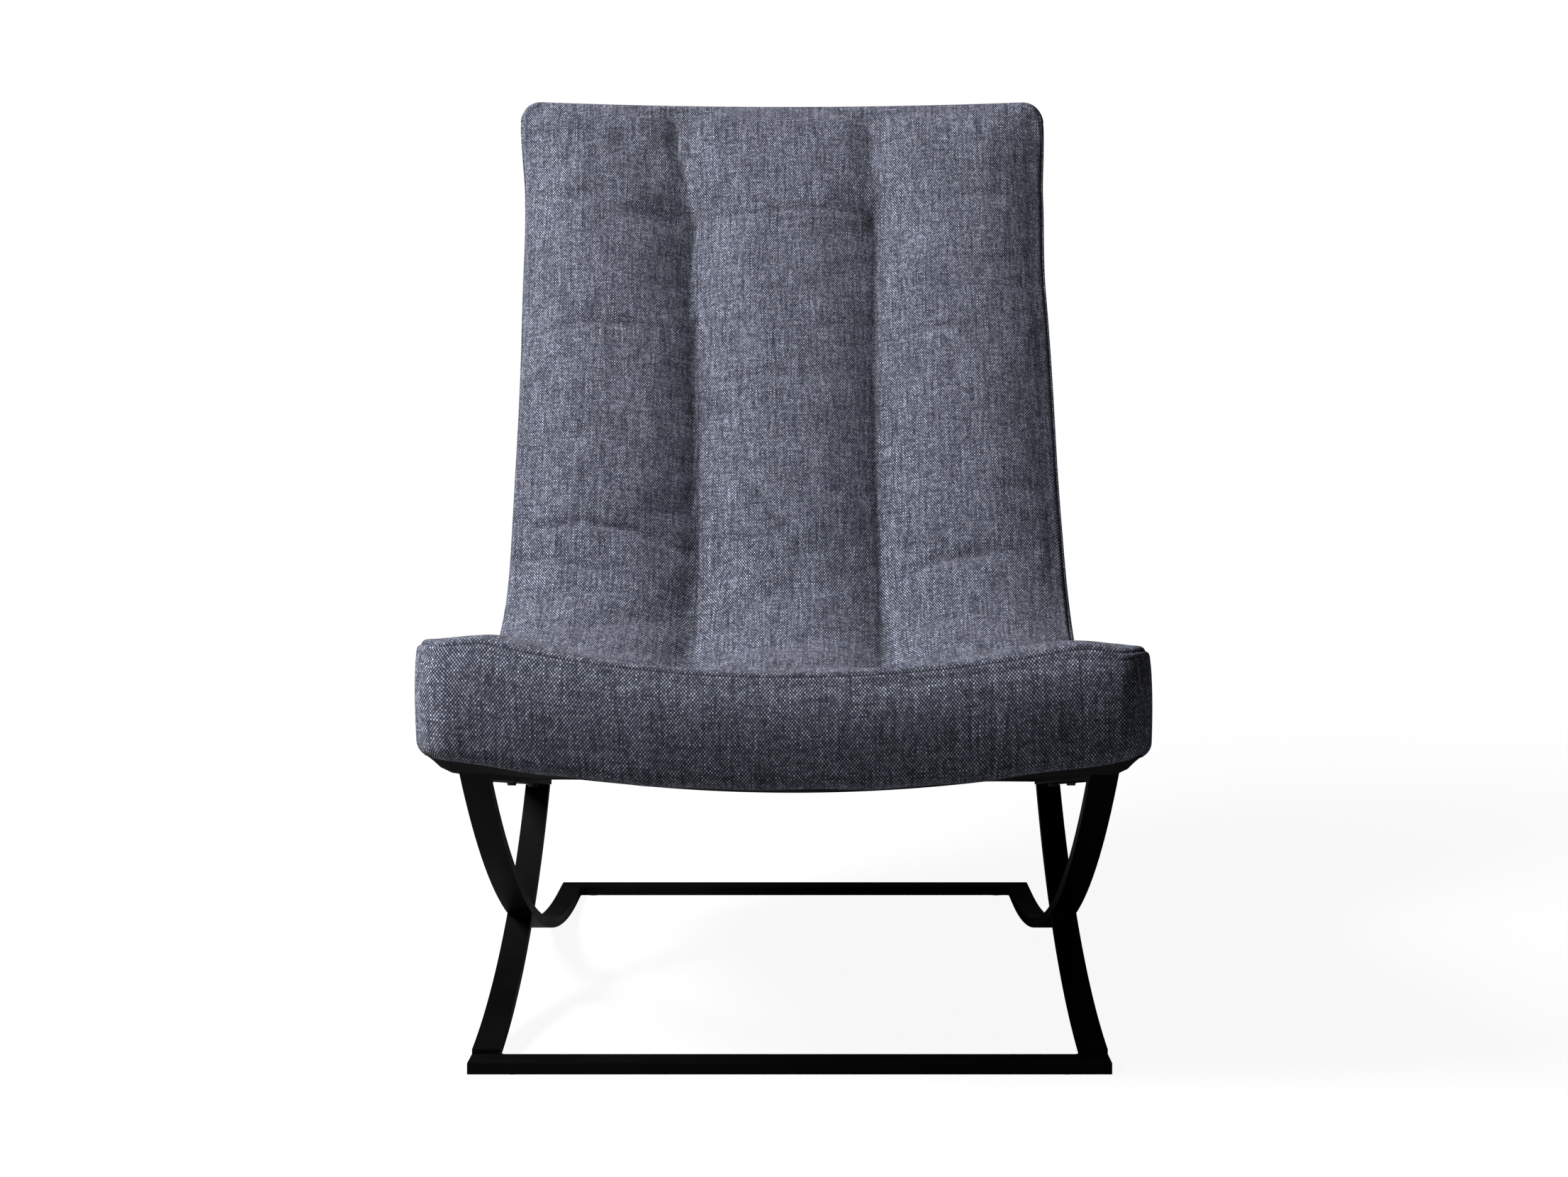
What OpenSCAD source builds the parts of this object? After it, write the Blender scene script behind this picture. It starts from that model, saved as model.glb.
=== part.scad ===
// Armless high-back lounge chair: a dished, channelled seat-and-back shell
// carried by a welded frame of bent flat bar with crossed legs.
// X is the width, Y runs from the seat's front to the back, Z is up from the floor.

/* [Floor frame] */
// Width over the outer edges of the bars
base_w = 575; // [500:5:620]
// Depth from the front rail's front face to the rear rail's back edge
base_depth = 668; // [640:2:720]
// Width of the flat bar
bar_w = 25; // [20:1:30]
// Thickness of the flat bar
bar_t = 10; // [8:0.5:12]
// Radius of the long bars' underside
long_arc_r = 900; // [860:5:960]
// Length of the long bars that lies flat before the rear edge
long_flat = 58; // [44:1:80]
// Radius of the upper face of the front legs and rear posts
leg_arc_r = 517; // [490:1:545]
// How far the leg arc's centre stands in front of the front rail
leg_arc_ahead = 40; // [20:1:60]
// Diameter of the felt discs under the rails
glide_d = 20; // [14:1:24]
// Thickness of the felt discs
glide_t = 1; // [0.8:0.1:3]
// Distance from a rail's end to the centre of its felt disc
glide_inset = 40; // [20:1:80]
// Radius of the weld beads
weld_r = 4; // [2:0.5:6]

/* [Seat shell] */
// How far the shell's ends stand out beyond the bars on each side
side_overhang = 34.5; // [26:0.5:60]
// How far the seat line starts in front of the front rail
seat_overhang = 69; // [40:1:100]
// Height of the seat line at the front
seat_front_h = 402; // [380:1:430]
// Depth of the seat line, from its front to where it crosses the back line
seat_depth = 482; // [460:1:520]
// Slope of the seat, down towards the back
seat_slope = 11.3; // [8:0.1:14]
// Recline of the back from upright
back_recline = 22; // [16:0.5:26]
// Length of the back line, from the seat line to its top
back_len = 731; // [640:1:800]
// Radius of the sitting surface where seat and back meet
bend_r = 200; // [150:5:230]
// Radius of the outside where seat and back meet
rear_bend_r = 130; // [90:5:160]
// Thickness of the seat part
shell_t = 103; // [98:1:125]
// Thickness of the back part
back_t = 90; // [84:1:110]
// Depth of the hollow across the width
dish_depth = 29; // [10:1:40]
// Rise of the top edge in the middle
top_rise = 10; // [0:1:20]

/* [Upholstery] */
// Depth of the quilted cover with its wadding
quilt_t = 26; // [20:1:30]
// Radius along the shell's upper edges
edge_r = 18; // [12:0.5:20]
// How far round that edge the seam between cover and boxing lies, in degrees
seam_turn = 50; // [35:1:65]
// Radius of the back's top corners seen from the front
corner_r = 32; // [20:1:50]
// Radius of the seat's front corners seen from above
front_corner_r = 36; // [20:1:45]
// Radius along the shell's lower side edges
bottom_r = 11; // [4:1:16]
// Depth of the channels sewn between the three columns
channel_depth = 15; // [6:1:18]
// Distance of the tufts below the top edge
tuft_drop = 130; // [110:5:200]
// Extra depth of the cover at each tuft
tuft_depth = 5; // [1:0.5:6]
// How far the sides are drawn in halfway between the ends
side_draw = 7; // [0:0.5:10]
// How far the sides are drawn in beside the tufts
tuft_draw = 2.5; // [0:0.5:5]
// Bulge of the side boxing
side_bulge = 1.5; // [0:0.5:4]
// Bulge of the front boxing
front_bulge = 6; // [0:0.5:10]
// Thickness of the boxing and of the outside back panel
fabric_t = 3; // [2:0.5:4]
// Thickness of the dust cover under the seat
dust_t = 1.5; // [1:0.1:2]
// Thickness of the foam slabs under the quilted cover
foam_t = 36; // [25:1:36]

/* [Wooden frame and webbing] */
// Thickness of the plywood side rails
side_rail_t = 24; // [18:1:25]
// Width of the hardwood cross rails along the shell
cross_rail_w = 32; // [20:1:40]
// Depth of the padding in front of the wooden frame and above it
frame_pad = 14; // [10:1:20]
// Width of a webbing strap
strap_w = 50; // [40:1:60]
// Thickness of a webbing strap
strap_t = 2.5; // [1.5:0.1:3]
// Number of straps side by side
strap_count = 6; // [4:1:7]
// Diameter of the tie through each tuft
tie_d = 3; // [2:0.5:5]
// Diameter of the toggle that holds a tie behind the webbing
toggle_d = 24; // [16:1:30]
// Shank diameter of the wood screws
screw_d = 5; // [4:0.5:6]
// Head diameter of the wood screws
screw_head_d = 10; // [8:0.5:12]
// Length of the bearer screws below the head
screw_len = 32; // [28:1:38]

/* [Hidden] */
fit = 0.3;
weld_gap = 0.2;
screw_clear = 0.25;
bead_inset = 0.8;
round_fn = 720;
steel = [0.07, 0.07, 0.07];
zinc = [0.5, 0.5, 0.52];
ply = [0.80, 0.66, 0.46];
cloth = [0.40, 0.41, 0.48];
foam_colour = [0.93, 0.90, 0.78];
jute = [0.25, 0.24, 0.22];
shell_w = base_w + 2 * side_overhang;
half_w = shell_w / 2;
column_w = (shell_w - 2 * side_draw) / 3;

// Directions in the side view, as [Y, Z]: along a heading, and square to it towards the sitter
function along(a) = [cos(a), sin(a)];
function facing(a) = [-sin(a), cos(a)];
seat_a = -seat_slope;
back_a = 90 - back_recline;
turn = back_a - seat_a;
seat_front = [-seat_overhang, seat_front_h];
crook = seat_front + seat_depth / cos(seat_slope) * along(seat_a);
back_top = crook + back_len * along(back_a);

// Hollow across the width at x: a circle through both edges and the middle
dish_r = (half_w * half_w + dish_depth * dish_depth) / (2 * dish_depth);
function dish(x) = sqrt(dish_r * dish_r - x * x) - (dish_r - dish_depth);

// Where a line a below the seat line crosses a line b behind the back line
function crossing(a, b) =
    let (s = facing(seat_a), r = facing(back_a), det = s.x * r.y - s.y * r.x)
    crook + [b * s.y - a * r.y, a * r.x - b * s.x] / det;

// A path parallel to the seat and the back, with a round bend of radius r between them,
// as stations of [Y, Z, heading, share of the top edge's rise]. Below the quilted cover it
// starts on one upright plane.
// The stations lie at these shares and distances along its stretches.
turns = [0, 30, 60, 90];
front_gaps = [for (t = turns) front_corner_r * (1 - cos(t))];
front_shares = [0.3, 0.55, 0.8];
bend_shares = [for (i = [0 : 8]) i / 8];
tuft_zone = 32;
tuft_reach = tuft_drop + 2 * tuft_zone;
back_shares = [0.25, 0.5, 0.75];
corner_gaps = [for (t = turns) corner_r * (1 - sin(t))];
top_gaps = concat([tuft_reach, tuft_drop + tuft_zone, tuft_drop, tuft_drop - tuft_zone,
                   (tuft_drop - tuft_zone + corner_r) / 2], corner_gaps);
function path(a, b, r) =
    let (
        c = crossing(a, b),
        reach = r * tan(turn / 2),
        lead = max(0, a - quilt_t) * tan(seat_slope),
        start = seat_front - a * facing(seat_a) + lead * along(seat_a),
        seat_first = start + front_corner_r * along(seat_a),
        seat_end = c - reach * along(seat_a),
        back_start = c + reach * along(back_a),
        finish = back_top - b * facing(back_a),
        back_last = finish - tuft_reach * along(back_a),
        hub = seat_end + r * facing(seat_a)
    )
    concat(
        [for (g = front_gaps) concat(start + g * along(seat_a), [seat_a, 0])],
        [for (f = front_shares) concat(seat_first + f * (seat_end - seat_first), [seat_a, 0])],
        [for (f = bend_shares) let (h = seat_a + f * turn) concat(hub - r * facing(h), [h, 0])],
        [for (f = back_shares) concat(back_start + f * (back_last - back_start), [back_a, 0])],
        [for (g = top_gaps) concat(finish - g * along(back_a), [back_a, ease(1 - g / tuft_reach)])]
    );
function depth_path(h) = path(h, h, bend_r + h);
surface = depth_path(0);
last = len(surface) - 1;
bend_first = len(front_gaps) + len(front_shares);
bend_middle = bend_first + 4;

// Length along the sitting surface at each station, measured from the front
seat_run = seat_depth / cos(seat_slope) - bend_r * tan(turn / 2);
back_run = back_len - bend_r * tan(turn / 2);
bend_run = bend_r * turn * PI / 180;
total_len = seat_run + bend_run + back_run;
reach_at = concat(
    front_gaps,
    [for (f = front_shares) front_corner_r + f * (seat_run - front_corner_r)],
    [for (f = bend_shares) seat_run + f * bend_run],
    [for (f = back_shares) seat_run + bend_run + f * (back_run - tuft_reach)],
    [for (g = top_gaps) total_len - g]
);
tuft_at = total_len - tuft_drop;

// A point at width x and depth h below a station
function under(s, x, h) =
    let (d = h + dish(x), rise = s[3] * top_rise * (1 - x * x / (half_w * half_w)))
    [x, s.x + d * sin(s[2]) + rise * cos(s[2]), s.y - d * cos(s[2]) + rise * sin(s[2])];
function bell(d, w) = exp(-d * d / (w * w));
function ease(t) = let (c = max(0, min(1, t))) c * c * (3 - 2 * c);

// Half width of the shell along its length, without its corners
draw_reach = 70;
function drawn_half(u) =
    half_w - side_draw * sin(180 * u / total_len) - tuft_draw * bell(u - tuft_at, draw_reach);

// The outline with its round corners, drawn in by an equal distance all round: the turn
// of a corner at a station, the half width there and the station's own move
turn_count = len(turns);
function corner_turn(i) =
    i < turn_count ? 90 - turns[i] : i > last - turn_count ? turns[i - last + turn_count - 1] : 0;
function inset_half(i, d) =
    let (r = i < turn_count ? front_corner_r : corner_r)
    drawn_half(reach_at[i]) - r + (r - d) * cos(corner_turn(i));
function inset_station(s, i, d, slide = 0) =
    let (move = (i < turn_count ? 1 : -1) * d * sin(corner_turn(i)) + slide)
    [s.x + move * cos(s[2]), s.y + move * sin(s[2]), s[2], s[3]];

// Distance in from the outline at length u and width x
function edge_distance(u, x) =
    let (
        at_front = u < total_len / 2,
        r = at_front ? front_corner_r : corner_r,
        end = at_front ? u : total_len - u,
        side = drawn_half(u) - abs(x)
    )
    side < r && end < r ? r - norm([r - side, r - end]) : min(side, end);

// Depth of the cover's face: crowned columns, sewn channels, tufts and rounded edges.
// The folds die out at the seam.
seam_in = edge_r * (1 - sin(seam_turn));
seam_depth = edge_r * (1 - cos(seam_turn));
channel_start = 20;
channel_run = 90;
fade_run = 60;
tuft_spread = 26;
quilt_left = 4;
function channel_at(u) =
    channel_depth * (0.25 + 0.75 * ease((u - channel_start) / channel_run))
        * (1 - 0.45 * ease((u - tuft_at) / fade_run));
function column_fold(u, x) =
    let (
        outer = abs(x) > column_w / 2,
        off = (abs(x) - (outer ? column_w : 0)) / (column_w / 2),
        at_edge = outer && off > 0
    )
    (at_edge ? 0.2 : 1) * channel_at(u) * pow(min(1, abs(off)), at_edge ? 3 : 2.6);
function tuft_fold(u, x) =
    tuft_depth * bell(u - tuft_at, tuft_spread)
        * (bell(abs(x) - column_w / 2, tuft_spread) + 0.25);
function edge_fold(u, x) =
    let (d = max(0, edge_r - edge_distance(u, x))) edge_r - sqrt(edge_r * edge_r - d * d);
function face_depth(u, x) =
    let (e = edge_fold(u, x))
    min(quilt_t - quilt_left,
        e + (column_fold(u, x) + tuft_fold(u, x)) * max(0, 1 - e / seam_depth));

// Where the points of a row lie across the width, as shares of the half width
edge_share = edge_r / half_w;
channel_share = column_w / shell_w;
half_row = concat(
    [for (f = [0, 0.33, 0.6, 0.82, 0.93, 1, 1.07, 1.2, 1.5]) f * channel_share],
    [0.64, 0.8, 1 - edge_share, 1 - edge_share / 2, 1 - edge_share / 7, 1]
);
face_row = concat([for (i = [len(half_row) - 1 : -1 : 1]) -half_row[i]], half_row);
plain_row = [for (i = [-4 : 4]) i / 4];
// The points near the channels keep their places where the outline narrows
function across(v, w) = v * (abs(v) < 0.6 ? half_w : w);

// Triangles of a closed skin between two stacks of rows. The outer rows may have more
// points than the inner ones, which are evenly spread; shares then says where they lie.
function grid(rows, cols, at, flip) = [
    for (i = [0 : rows - 2]) for (j = [0 : cols - 2])
        let (a = at + i * cols + j, b = a + 1, c = a + cols, d = c + 1)
        each flip ? [[a, b, d], [a, d, c]] : [[a, d, b], [a, c, d]]
];
function zip(o, i, near, flip) = [
    for (j = [0 : len(near) - 2]) let (
        first = [o + j, o + j + 1, i + near[j]],
        second = [o + j + 1, i + near[j + 1], i + near[j]],
        both = near[j + 1] == near[j] ? [first] : [first, second]
    )
    each flip ? both : [for (t = both) [t[0], t[2], t[1]]]
];
module skin(outer, inner, shares = []) {
    rows = len(outer);
    no = len(outer[0]);
    ni = len(inner[0]);
    at = rows * no;
    near = [for (j = [0 : no - 1]) no == ni ? j : round((shares[j] + 1) / 2 * (ni - 1))];
    sides = [
        for (i = [0 : rows - 2]) let (
            a = i * no, b = a + no, c = at + i * ni, d = c + ni,
            e = a + no - 1, f = b + no - 1, g = c + ni - 1, h = d + ni - 1
        )
        each [[a, c, d], [a, d, b], [e, f, h], [e, h, g]]
    ];
    polyhedron(
        points = concat([for (r = outer) each r], [for (r = inner) each r]),
        faces = concat(
            grid(rows, no, 0, false), grid(rows, ni, at, true), sides,
            zip(0, at, near, true),
            zip((rows - 1) * no, at + (rows - 1) * ni, near, false)
        ),
        convexity = 8
    );
}
// A dished layer between two paths, over some of their stations, inset from the outline
module layer(top, bottom, from, to, inset) {
    function row(path, i) =
        let (w = inset_half(i, inset), s = inset_station(path[i], i, inset))
        [for (v = plain_row) under(s, v * w, 0)];
    skin([for (i = [from : to]) row(top, i)], [for (i = [from : to]) row(bottom, i)]);
}

// Drawing in the side view, from x0 over a width w
module side_cut(x0, w) {
    translate([x0, 0, 0]) rotate([90, 0, 90]) linear_extrude(w) children();
}
module placed(left = false) {
    translate([0, -(front_y + rear_y) / 2, 0]) mirror_if(left) children();
}
module mirror_if(left) {
    if (left) mirror([1, 0, 0]) children();
    else children();
}
module on_both_sides() {
    for (left = [false, true]) mirror_if(left) children();
}
module ring(hub, r0, r1) {
    translate(hub) difference() {
        circle(r1, $fn = round_fn);
        circle(r0, $fn = round_fn);
    }
}
// Everything below a line at depth h under the seat, in the side view
module below_seat(h) {
    far = 1000;
    at = seat_front - h * facing(seat_a);
    polygon([at - far * along(seat_a), at + far * along(seat_a),
             at + far * along(seat_a) - far * facing(seat_a),
             at - far * along(seat_a) - far * facing(seat_a)]);
}

// Floor frame of flat bar

rail_z = glide_t;
bar_x = base_w / 2 - bar_w;
bearer_x = bar_x + bar_w / 2;
bearer_top = shell_t + dish(bar_x);
bearer_under = bearer_top + bar_t;
long_hub = [base_depth - long_flat, rail_z + long_arc_r];
leg_hub = [-leg_arc_ahead, rail_z + bar_t + leg_arc_r];

module bar_side() {
    side_cut(bar_x, bar_w) children();
}
module floor_rail(y) {
    translate([-base_w / 2, y, rail_z]) cube([base_w, bar_w, bar_t]);
}
module front_floor_rail() {
    placed() color(steel) floor_rail(0);
}
module rear_floor_rail() {
    placed() color(steel) floor_rail(base_depth - bar_w);
}
module long_bar() {
    color(steel) bar_side() {
        intersection() {
            ring(long_hub, long_arc_r - bar_t, long_arc_r);
            translate([long_hub.x - long_arc_r, 0]) square([long_arc_r, seat_front_h]);
            below_seat(bearer_top);
        }
        translate([long_hub.x, rail_z]) square([long_flat - bar_w - weld_gap, bar_t]);
    }
}
module leg_arc() {
    ring(leg_hub, leg_arc_r, leg_arc_r + bar_t);
}
module front_leg() {
    color(steel) bar_side() difference() {
        intersection() {
            leg_arc();
            translate([bar_w + weld_gap, 0]) square([base_depth, leg_hub.y]);
        }
        translate(long_hub) circle(long_arc_r + weld_gap, $fn = round_fn);
    }
}
module rear_post() {
    color(steel) bar_side() intersection() {
        leg_arc();
        translate(long_hub) circle(long_arc_r - bar_t - weld_gap, $fn = round_fn);
        below_seat(bearer_under + weld_gap);
    }
}

// Where two circles meet, on the left of the line from the first hub to the second
function meet(a, ra, b, rb) =
    let (
        d = norm(b - a), e = (b - a) / d,
        p = (d * d + ra * ra - rb * rb) / (2 * d),
        q = sqrt(ra * ra - p * p)
    )
    a + p * e + q * [-e.y, e.x];
// How far along the seat a circle crosses a line at depth h under it; side is -1 or 1
function line_meet(hub, r, h, side) =
    let (p = hub - (seat_front - h * facing(seat_a)), off = p * facing(seat_a))
    p * along(seat_a) + side * sqrt(r * r - off * off);
function below_line(s, h) = seat_front + s * along(seat_a) - h * facing(seat_a);
bearer_start = line_meet(long_hub, long_arc_r, bearer_top, -1);
bearer_len = line_meet(leg_hub, leg_arc_r + bar_t, bearer_under, 1) - bearer_start + bar_t;

// Screws go up through the bearer, at shares of its length
bearer_screw_shares = [0.2, 0.53, 0.86];
bearer_holes = [for (f = bearer_screw_shares) bearer_start + f * bearer_len];
module along_bearer(s, h) {
    p = below_line(s, h);
    translate([bearer_x, p.x, p.y]) rotate([seat_a, 0, 0]) children();
}
module seat_bearer() {
    color(steel) difference() {
        intersection() {
            along_bearer(bearer_start, bearer_under) translate([-bar_w / 2, 0, 0])
                cube([bar_w, bearer_len, bar_t]);
            side_cut(bar_x - 1, bar_w + 2) translate(long_hub)
                circle(long_arc_r - bar_t - weld_gap, $fn = round_fn);
        }
        for (s = bearer_holes) along_bearer(s, bearer_under + 1)
            cylinder(d = screw_d + 2 * screw_clear, h = bar_t + 2, $fn = 32);
    }
}

// Beads lie in the corners where two bars meet, cut back to the faces of the bars
module bead_width() {
    side_cut(bar_x + bead_inset, bar_w - 2 * bead_inset) children();
}
module bead(at) {
    translate(at) circle(weld_r, $fn = 32);
}
module long_ring() {
    ring(long_hub, long_arc_r - bar_t - weld_gap, long_arc_r + weld_gap);
}
module leg_ring() {
    ring(leg_hub, leg_arc_r - weld_gap, leg_arc_r + bar_t + weld_gap);
}
module crossing_welds() {
    placed() color(steel) on_both_sides() bead_width() difference() {
        for (ra = [long_arc_r - bar_t, long_arc_r]) for (rb = [leg_arc_r, leg_arc_r + bar_t])
            bead(meet(long_hub, ra, leg_hub, rb));
        long_ring();
        leg_ring();
    }
}
module bearer_welds() {
    h = bearer_under;
    placed() color(steel) on_both_sides() bead_width() intersection() {
        difference() {
            union() {
                bead(below_line(line_meet(long_hub, long_arc_r - bar_t, h, -1), h));
                for (r = [leg_arc_r, leg_arc_r + bar_t])
                    bead(below_line(line_meet(leg_hub, r, h, 1), h));
            }
            long_ring();
            leg_ring();
        }
        below_seat(h + weld_gap);
    }
}
// Bead in an upright corner at floor level, opening towards the turned quarter
module corner_bead(x, y, turned) {
    translate([x, y, rail_z + bead_inset]) rotate(turned)
        linear_extrude(bar_t - 2 * bead_inset) translate([weld_gap, weld_gap]) intersection() {
            square(weld_r);
            circle(weld_r, $fn = 32);
        }
}
module rail_welds() {
    placed() color(steel) on_both_sides() {
        corner_bead(bar_x, bar_w, 90);
        corner_bead(bar_x, base_depth - bar_w, 180);
    }
}

module floor_glides() {
    placed() color([0.2, 0.2, 0.2])
        for (x = [-1, 1]) for (y = [bar_w / 2, base_depth - bar_w / 2])
            translate([x * (base_w / 2 - glide_inset), y, 0])
                cylinder(d = glide_d, h = glide_t, $fn = 48);
}
// Pan-headed wood screw: its head's face is at the origin and its shank points up
head_t = 3;
point_len = 6;
module screw(len) {
    translate([0, 0, -head_t]) cylinder(d1 = screw_head_d * 0.8, d2 = screw_head_d, h = head_t, $fn = 32);
    cylinder(d = screw_d, h = len - point_len, $fn = 24);
    translate([0, 0, len - point_len]) cylinder(d1 = screw_d, d2 = 1, h = point_len, $fn = 24);
}
module screw_hole(len) {
    translate([0, 0, -1]) cylinder(d = screw_d + 2 * screw_clear, h = len + 2, $fn = 32);
}
module bearer_screws() {
    placed() color(zinc) on_both_sides() for (s = bearer_holes) along_bearer(s, bearer_under)
        screw(screw_len);
}

// Wooden frame: side rails that follow the shell, and dished cross rails between them

rail_depth = quilt_t + foam_t + strap_t + 2 * fit;
side_in = bearer_x - side_rail_t / 2;
side_out = side_in + side_rail_t;
side_top = rail_depth + dish(side_in);
seat_frame_bottom = shell_t - dust_t - fit;
back_frame_bottom = back_t - fabric_t - fit;

module band(inner, outer) {
    polygon(concat([for (p = inner) [p.x, p.y]],
                   [for (i = [last : -1 : 0]) [outer[i].x, outer[i].y]]));
}
// All behind an upright line near the front and below a square line near the top
module frame_span(front_clear, top_clear) {
    far = 400;
    front = seat_front.x - quilt_t * sin(seat_slope) + front_clear;
    top = back_top - top_clear * along(back_a);
    polygon([[front, 0], [crook.x + far, -far], top - far * facing(back_a),
             top + far * facing(back_a), [front, top.y]]);
}
module side_rail() {
    color(ply) difference() {
        side_cut(side_in, side_rail_t) intersection() {
            band(path(side_top, side_top, bend_r + side_top),
                 path(seat_frame_bottom + dish(side_out), back_frame_bottom + dish(side_out),
                      rear_bend_r));
            frame_span(frame_pad, frame_pad);
        }
        for (s = bearer_holes) along_bearer(s, bearer_under) screw_hole(screw_len);
        for (c = cross_rails) at_cross_screw(c) screw_hole(cross_screw_len);
    }
}

// Cross rails: heading, distance of the middle from the crook, depth of the underside
rail_from_front = frame_pad / cos(seat_slope) + (shell_t - quilt_t) * tan(seat_slope)
    + cross_rail_w / 2;
front_rail = [seat_a, rail_from_front - seat_depth / cos(seat_slope), seat_frame_bottom];
seat_rail = [seat_a, -bend_r * tan(turn / 2) - cross_rail_w / 2, seat_frame_bottom];
lumbar_rail = [back_a, bend_r * tan(turn / 2) + cross_rail_w / 2, back_frame_bottom];
top_rail = [back_a, back_len - frame_pad - cross_rail_w / 2, back_frame_bottom];
cross_rails = [front_rail, seat_rail, lumbar_rail, top_rail];
cross_screw_len = 2 * side_rail_t;
module at_cross(c) {
    p = crook + c[1] * along(c[0]);
    translate([0, p.x, p.y]) rotate([c[0], 0, 0]) children();
}
module at_cross_screw(c) {
    depth = (side_top + c[2] + dish(side_out)) / 2;
    at_cross(c) translate([side_out, 0, -depth]) rotate([0, -90, 0]) children();
}
// Dished board between the side rails, from depth h0 to depth h1
module dished_board(h0, h1, w, reach) {
    hub = dish_r - dish_depth;
    rotate([90, 0, 0]) linear_extrude(w, center = true) difference() {
        intersection() {
            translate([0, hub - h1]) circle(dish_r, $fn = round_fn);
            translate([-reach, -h1 - dish_depth - 1])
                square([2 * reach, h1 - h0 + dish_depth + 1]);
        }
        translate([0, hub - h0]) circle(dish_r, $fn = round_fn);
    }
}
module cross_rail(c) {
    color(ply) difference() {
        at_cross(c) dished_board(rail_depth, c[2], cross_rail_w, side_in);
        on_both_sides() at_cross_screw(c) screw_hole(cross_screw_len);
    }
}
module frame_screws() {
    placed() color(zinc) for (c = cross_rails) on_both_sides() at_cross_screw(c) screw(cross_screw_len);
}
module straps(from, to) {
    pitch = 2 * side_in / strap_count;
    w = min(strap_w, pitch - 4);
    for (i = [0 : strap_count - 1]) {
        x = -side_in + pitch * (i + 0.5);
        at_cross(from) translate([x, -cross_rail_w / 2, -rail_depth - dish(x) + fit])
            rotate([0, -asin(x / dish_r), 0]) translate([-w / 2, 0, 0])
                cube([w, to[1] - from[1] + cross_rail_w, strap_t]);
    }
}

// Foam

foam_top = quilt_t + fit;
foam_bottom = quilt_t + foam_t;
foam_from = 2;
foam_inset = fabric_t + fit;
module seat_foam() {
    placed() color(foam_colour)
        layer(depth_path(foam_top), depth_path(foam_bottom), foam_from, bend_middle, foam_inset);
}
module back_foam() {
    placed() color(foam_colour) difference() {
        layer(depth_path(foam_top), depth_path(foam_bottom), bend_middle, last, foam_inset);
        at_ties() tie(tie_d + 2 * fit);
    }
}
// Strip on a side rail's outer face, under the edge of the foam slabs
module side_foam() {
    x0 = side_out + head_t + fit;
    x1 = half_w - side_draw - tuft_draw - fabric_t - fit;
    top = foam_bottom + dish(x0) + fit;
    color(foam_colour) side_cut(x0, x1 - x0) intersection() {
        band(path(top, top, bend_r + top),
             path(shell_t - bottom_r, back_t - bottom_r, rear_bend_r));
        frame_span(front_corner_r / 2, corner_r);
    }
}
// Pad between the front cross rail and the front boxing, upright in front
module front_edge_foam() {
    front = seat_front.x - quilt_t * sin(seat_slope) + fabric_t + fit;
    placed() color(foam_colour) intersection() {
        at_cross(front_rail) translate([0, -cross_rail_w - fit, 0])
            dished_board(foam_bottom + fit, shell_t - bottom_r, cross_rail_w, side_in);
        translate([-half_w, front, 0]) cube([shell_w, seat_depth, seat_front_h]);
    }
}

// Cover

// Share of its thickness that the boxing keeps where it is pressed flat at the seam
seam_share = 0.15;

// Its edge runs along the seam, and its wall stays clear of the boxing below
cover_edge = seam_in + seam_share * fabric_t + fit;
cover_wall = fabric_t + 3 * fit;
function end_way(i) = i < turn_count ? 1 : -1;
module quilted_cover() {
    function face_row_at(i) =
        let (
            s = inset_station(surface[i], i, cover_edge),
            u = reach_at[i] + end_way(i) * cover_edge * sin(corner_turn(i)),
            w = inset_half(i, cover_edge)
        )
        [for (v = face_row) let (x = across(v, w)) under(s, x, face_depth(u, x))];
    function under_row_at(i) =
        let (s = inset_station(surface[i], i, cover_wall), w = inset_half(i, cover_wall))
        [for (v = plain_row) under(s, v * w, quilt_t)];
    placed() color(cloth)
        skin([for (i = [0 : last]) face_row_at(i)], [for (i = [0 : last]) under_row_at(i)], face_row);
}
// The boxing's section from the seam down: the rest of the rounded edge, a bulging wall and
// the round of the lower edge. The cloth is pressed thin at the seam. Each entry gives the
// depth below the sitting surface and the distance in from the outline.
wall_depth = shell_t - edge_r;
function bulged(h, bulge) = bulge * sin(180 * max(0, h - edge_r) / wall_depth);
function boxing_section(off, bulge) = concat(
    [for (f = [0, 0.5, 1]) let (
        a = seam_turn + f * (90 - seam_turn),
        t = off * (seam_share + (1 - seam_share) * sin(90 * f))
    ) [edge_r * (1 - cos(a)), edge_r * (1 - sin(a)) + t]],
    [for (f = [0.3, 0.6, 0.85]) let (h = edge_r + f * (wall_depth - bottom_r))
        [h, off - bulged(h, bulge)]],
    [for (t = turns) let (h = shell_t - bottom_r + (bottom_r - off) * sin(t))
        [h, bottom_r - (bottom_r - off) * cos(t) - bulged(h, bulge)]]
);
// A point of the boxing: parallel to the surface down to the cover's depth, then straight
// down to the outside. Slide moves it along the shell.
outside = path(shell_t, back_t, rear_bend_r);
function boxing_point(i, x, section, slide = 0) =
    let (
        h = section[0],
        a = under(inset_station(surface[i], i, section[1], slide), x, min(h, quilt_t)),
        b = under(inset_station(outside[i], i, section[1], slide), x, 0)
    )
    a + max(0, h - quilt_t) / (shell_t - quilt_t) * (b - a);

// The foremost and rearmost places, which the origin lies between
front_y = min([for (q = boxing_section(0, front_bulge)) boxing_point(0, 0, q).y]);
rear_y = max([for (q = boxing_section(0, side_bulge)) boxing_point(last, 0, q).y]);

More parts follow.
